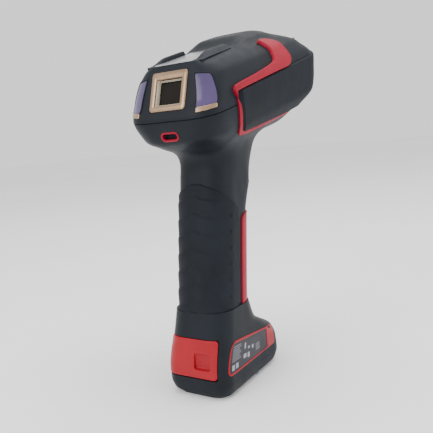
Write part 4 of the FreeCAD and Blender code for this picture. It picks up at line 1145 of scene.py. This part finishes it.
# slot: (real material and making, colour, second tone, roughness, grain size in mm, grain, more)
FINISHES = {
    # the housings: near black with a cool cast and a fine even grain
    "black_plastic": ("polycarbonate_blend_spark_textured", "#12161b", "#181d24", 0.5, 0.3, 0.07,
                      {GLINT: 0.16}),
    # bumper and sleeve: a little lighter and more matt than the plastic
    "black_rubber": ("elastomer_overmoulded_matt", "#14171c", "#1a1e25", 0.6, 0.25, 0.05,
                     {GLINT: 0.13}),
    # trims, front strip and lanyard ring: satin red
    "red_rubber": ("elastomer_overmoulded_red", "#960a28", "#870822", 0.5, 0.25, 0.04,
                   {GLINT: 0.2}),
    # latch and label frames
    "red_plastic": ("polycarbonate_blend_red_satin", "#9c0a1c", "#8d0818", 0.42, 0.3, 0.04,
                    {GLINT: 0.25}),
    # champagne lacquer with metal flakes over a moulded bezel
    "bezel_metallic": ("champagne_metallic_lacquer", "#a58a6e", "#8a6f58", 0.3, 0.12, 0.05,
                       {"Metallic": 0.85, COAT: 0.2, COAT_ROUGH: 0.2}),
    # silver lacquer on the strip behind the dome
    "strip_silver": ("silver_lacquered_polycarbonate", "#b4b4ba", "#97979e", 0.28, 0.15, 0.03,
                     {"Metallic": 0.7, COAT: 0.3, COAT_ROUGH: 0.12}),
    # milky light guide
    "white_diffuser": ("opal_acrylic_light_guide", "#bcb4a4", "#aea696", 0.35, 0.4, 0.02,
                       {DEEP: 0.3, DEEP_SCALE: 0.001}),
    # side windows: tinted and glossy
    "violet_window": ("violet_tinted_acrylic", "#4f4268", "#43385a", 0.2, 2.0, 0.004,
                      {GLINT: 0.35}),
    # smoked window over the display
    "dark_window": ("smoked_polycarbonate_hard_coated", "#14100d", "#1c1511", 0.18, 2.0, 0.003,
                    {GLINT: 0.16}),
    # dark red filter of the scan window, and the coated lenses behind it
    "scan_glass": ("filter_glass_polished", "#1c0a0d", "#220c10", 0.08, 3.0, 0.002,
                   {GLINT: 0.3}),
    "lens_glass": ("coated_optical_glass", "#1a2238", "#20183a", 0.05, 3.0, 0.001, {COAT: 0.6}),
    # printed label and its pale ink
    "label_black": ("polyester_label_printed", "#2a2830", "#232129", 0.42, 0.5, 0.02,
                    {GLINT: 0.25}),
    "label_ink": ("screen_printed_ink", "#8f9299", "#7d8087", 0.5, 0.4, 0.01),
    # screws and pins, springs, shields and contacts
    "steel": ("zinc_plated_steel", "#8e9196", "#7d8085", 0.32, 0.2, 0.05, METAL),
    "spring_steel": ("drawn_spring_wire", "#6f7073", "#5d5e61", 0.3, 0.1, 0.05, METAL),
    "shield_can": ("tinned_steel_sheet", "#a9abae", "#9b9da1", 0.35, 0.6, 0.04, METAL),
    "brass": ("gold_plated_brass", "#c79a4a", "#b98c3e", 0.25, 0.2, 0.03, METAL),
    # boards, packages, the wrap of the battery cell and the flex cable
    "circuit_board": ("solder_masked_glass_laminate", "#0f4a28", "#0c3f22", 0.35, 0.8, 0.03),
    "chip_black": ("transfer_moulded_epoxy", "#141414", "#1b1b1b", 0.55, 0.15, 0.06),
    "battery_wrap": ("pvc_shrink_wrap", "#1d4474", "#193c68", 0.3, 1.2, 0.02),
    "flex_amber": ("polyimide_film", "#8d5216", "#7d4711", 0.25, 1.0, 0.02),
}
MATERIALS = {slot: moulded(*finish) for slot, finish in FINISHES.items()}
print("materials:", len(MATERIALS))

# %% [markdown]
# ## Hand out the materials
# New pieces carry their slot's name. The CAD nodes that stay visible take the material of the
# slot that the record gives them.

# %% Assign
SLOT_OF = {entry["node"]: entry["material_slot"] for entry in frame["record"]["subparts"]}
for piece in bpy.context.scene.objects:
    if piece.type != "MESH":
        continue
    slot_name = SLOT_OF.get(piece.name) or piece.get("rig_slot")
    if piece.name.startswith("label_print"):
        slot_name = "label_ink"
    if slot_name in MATERIALS and (piece.name in NODES or not piece.data.materials):
        piece.data.materials.clear()
        piece.data.materials.append(MATERIALS[slot_name])
print("assigned")

# %% [markdown]
# ## Floor and light
# A seamless pale floor and three soft lights: a wide one overhead, a key from the left of the
# camera and a fill from its right. The white world keeps the floor even.

# %% Studio
FLOOR = 4.0
floor_mesh = bpy.data.meshes.new("floor")
floor_corners = FLOOR * np.array([(-1.0, -1, 0), (1, -1, 0), (1, 1, 0), (-1, 1, 0)])
floor_mesh.from_pydata(floor_corners, [], [(0, 1, 2, 3)])
floor = bpy.data.objects.new("floor", floor_mesh)
bpy.context.scene.collection.objects.link(floor)
floor_mesh.materials.append(moulded("studio_paper", "#fbfbfb", "#f7f7f7", 0.8, 2.0, 0.01,
                                    blotch_mm=200))
world = bpy.data.worlds.new("studio")
bpy.context.scene.world = world
world.use_nodes = True
world.node_tree.nodes["Background"].inputs["Color"].default_value = (1, 1, 1, 1)
world.node_tree.nodes["Background"].inputs["Strength"].default_value = 1.2
target = to_row(np.array([0.0, 0.0, 20.0]), HANDLE)


def soft_light(name, direction, distance, width, power):
    """Hang a square area light in a direction from the object and aim it at the object."""
    data = bpy.data.lights.new(name, "AREA")
    data.size = width
    data.energy = power
    lamp = bpy.data.objects.new(name, data)
    bpy.context.scene.collection.objects.link(lamp)
    back = np.array(direction, float) / np.linalg.norm(direction)
    cross = np.cross([0, 0, 1.0], back)
    cross /= np.linalg.norm(cross)
    matrix = np.eye(4)
    matrix[:3, :3] = np.column_stack([cross, np.cross(back, cross), back])
    matrix[:3, 3] = target + back * distance
    lamp.matrix_world = Matrix(matrix.tolist())
    return lamp


soft_light("overhead", (0.15, -0.1, 1.0), 0.9, 0.8, 7.0)
soft_light("key", (-1.0, 0.25, 0.55), 0.9, 0.5, 4.0)
soft_light("fill", (0.2, -1.0, 0.35), 1.0, 0.6, 3.0)
print("studio ready")
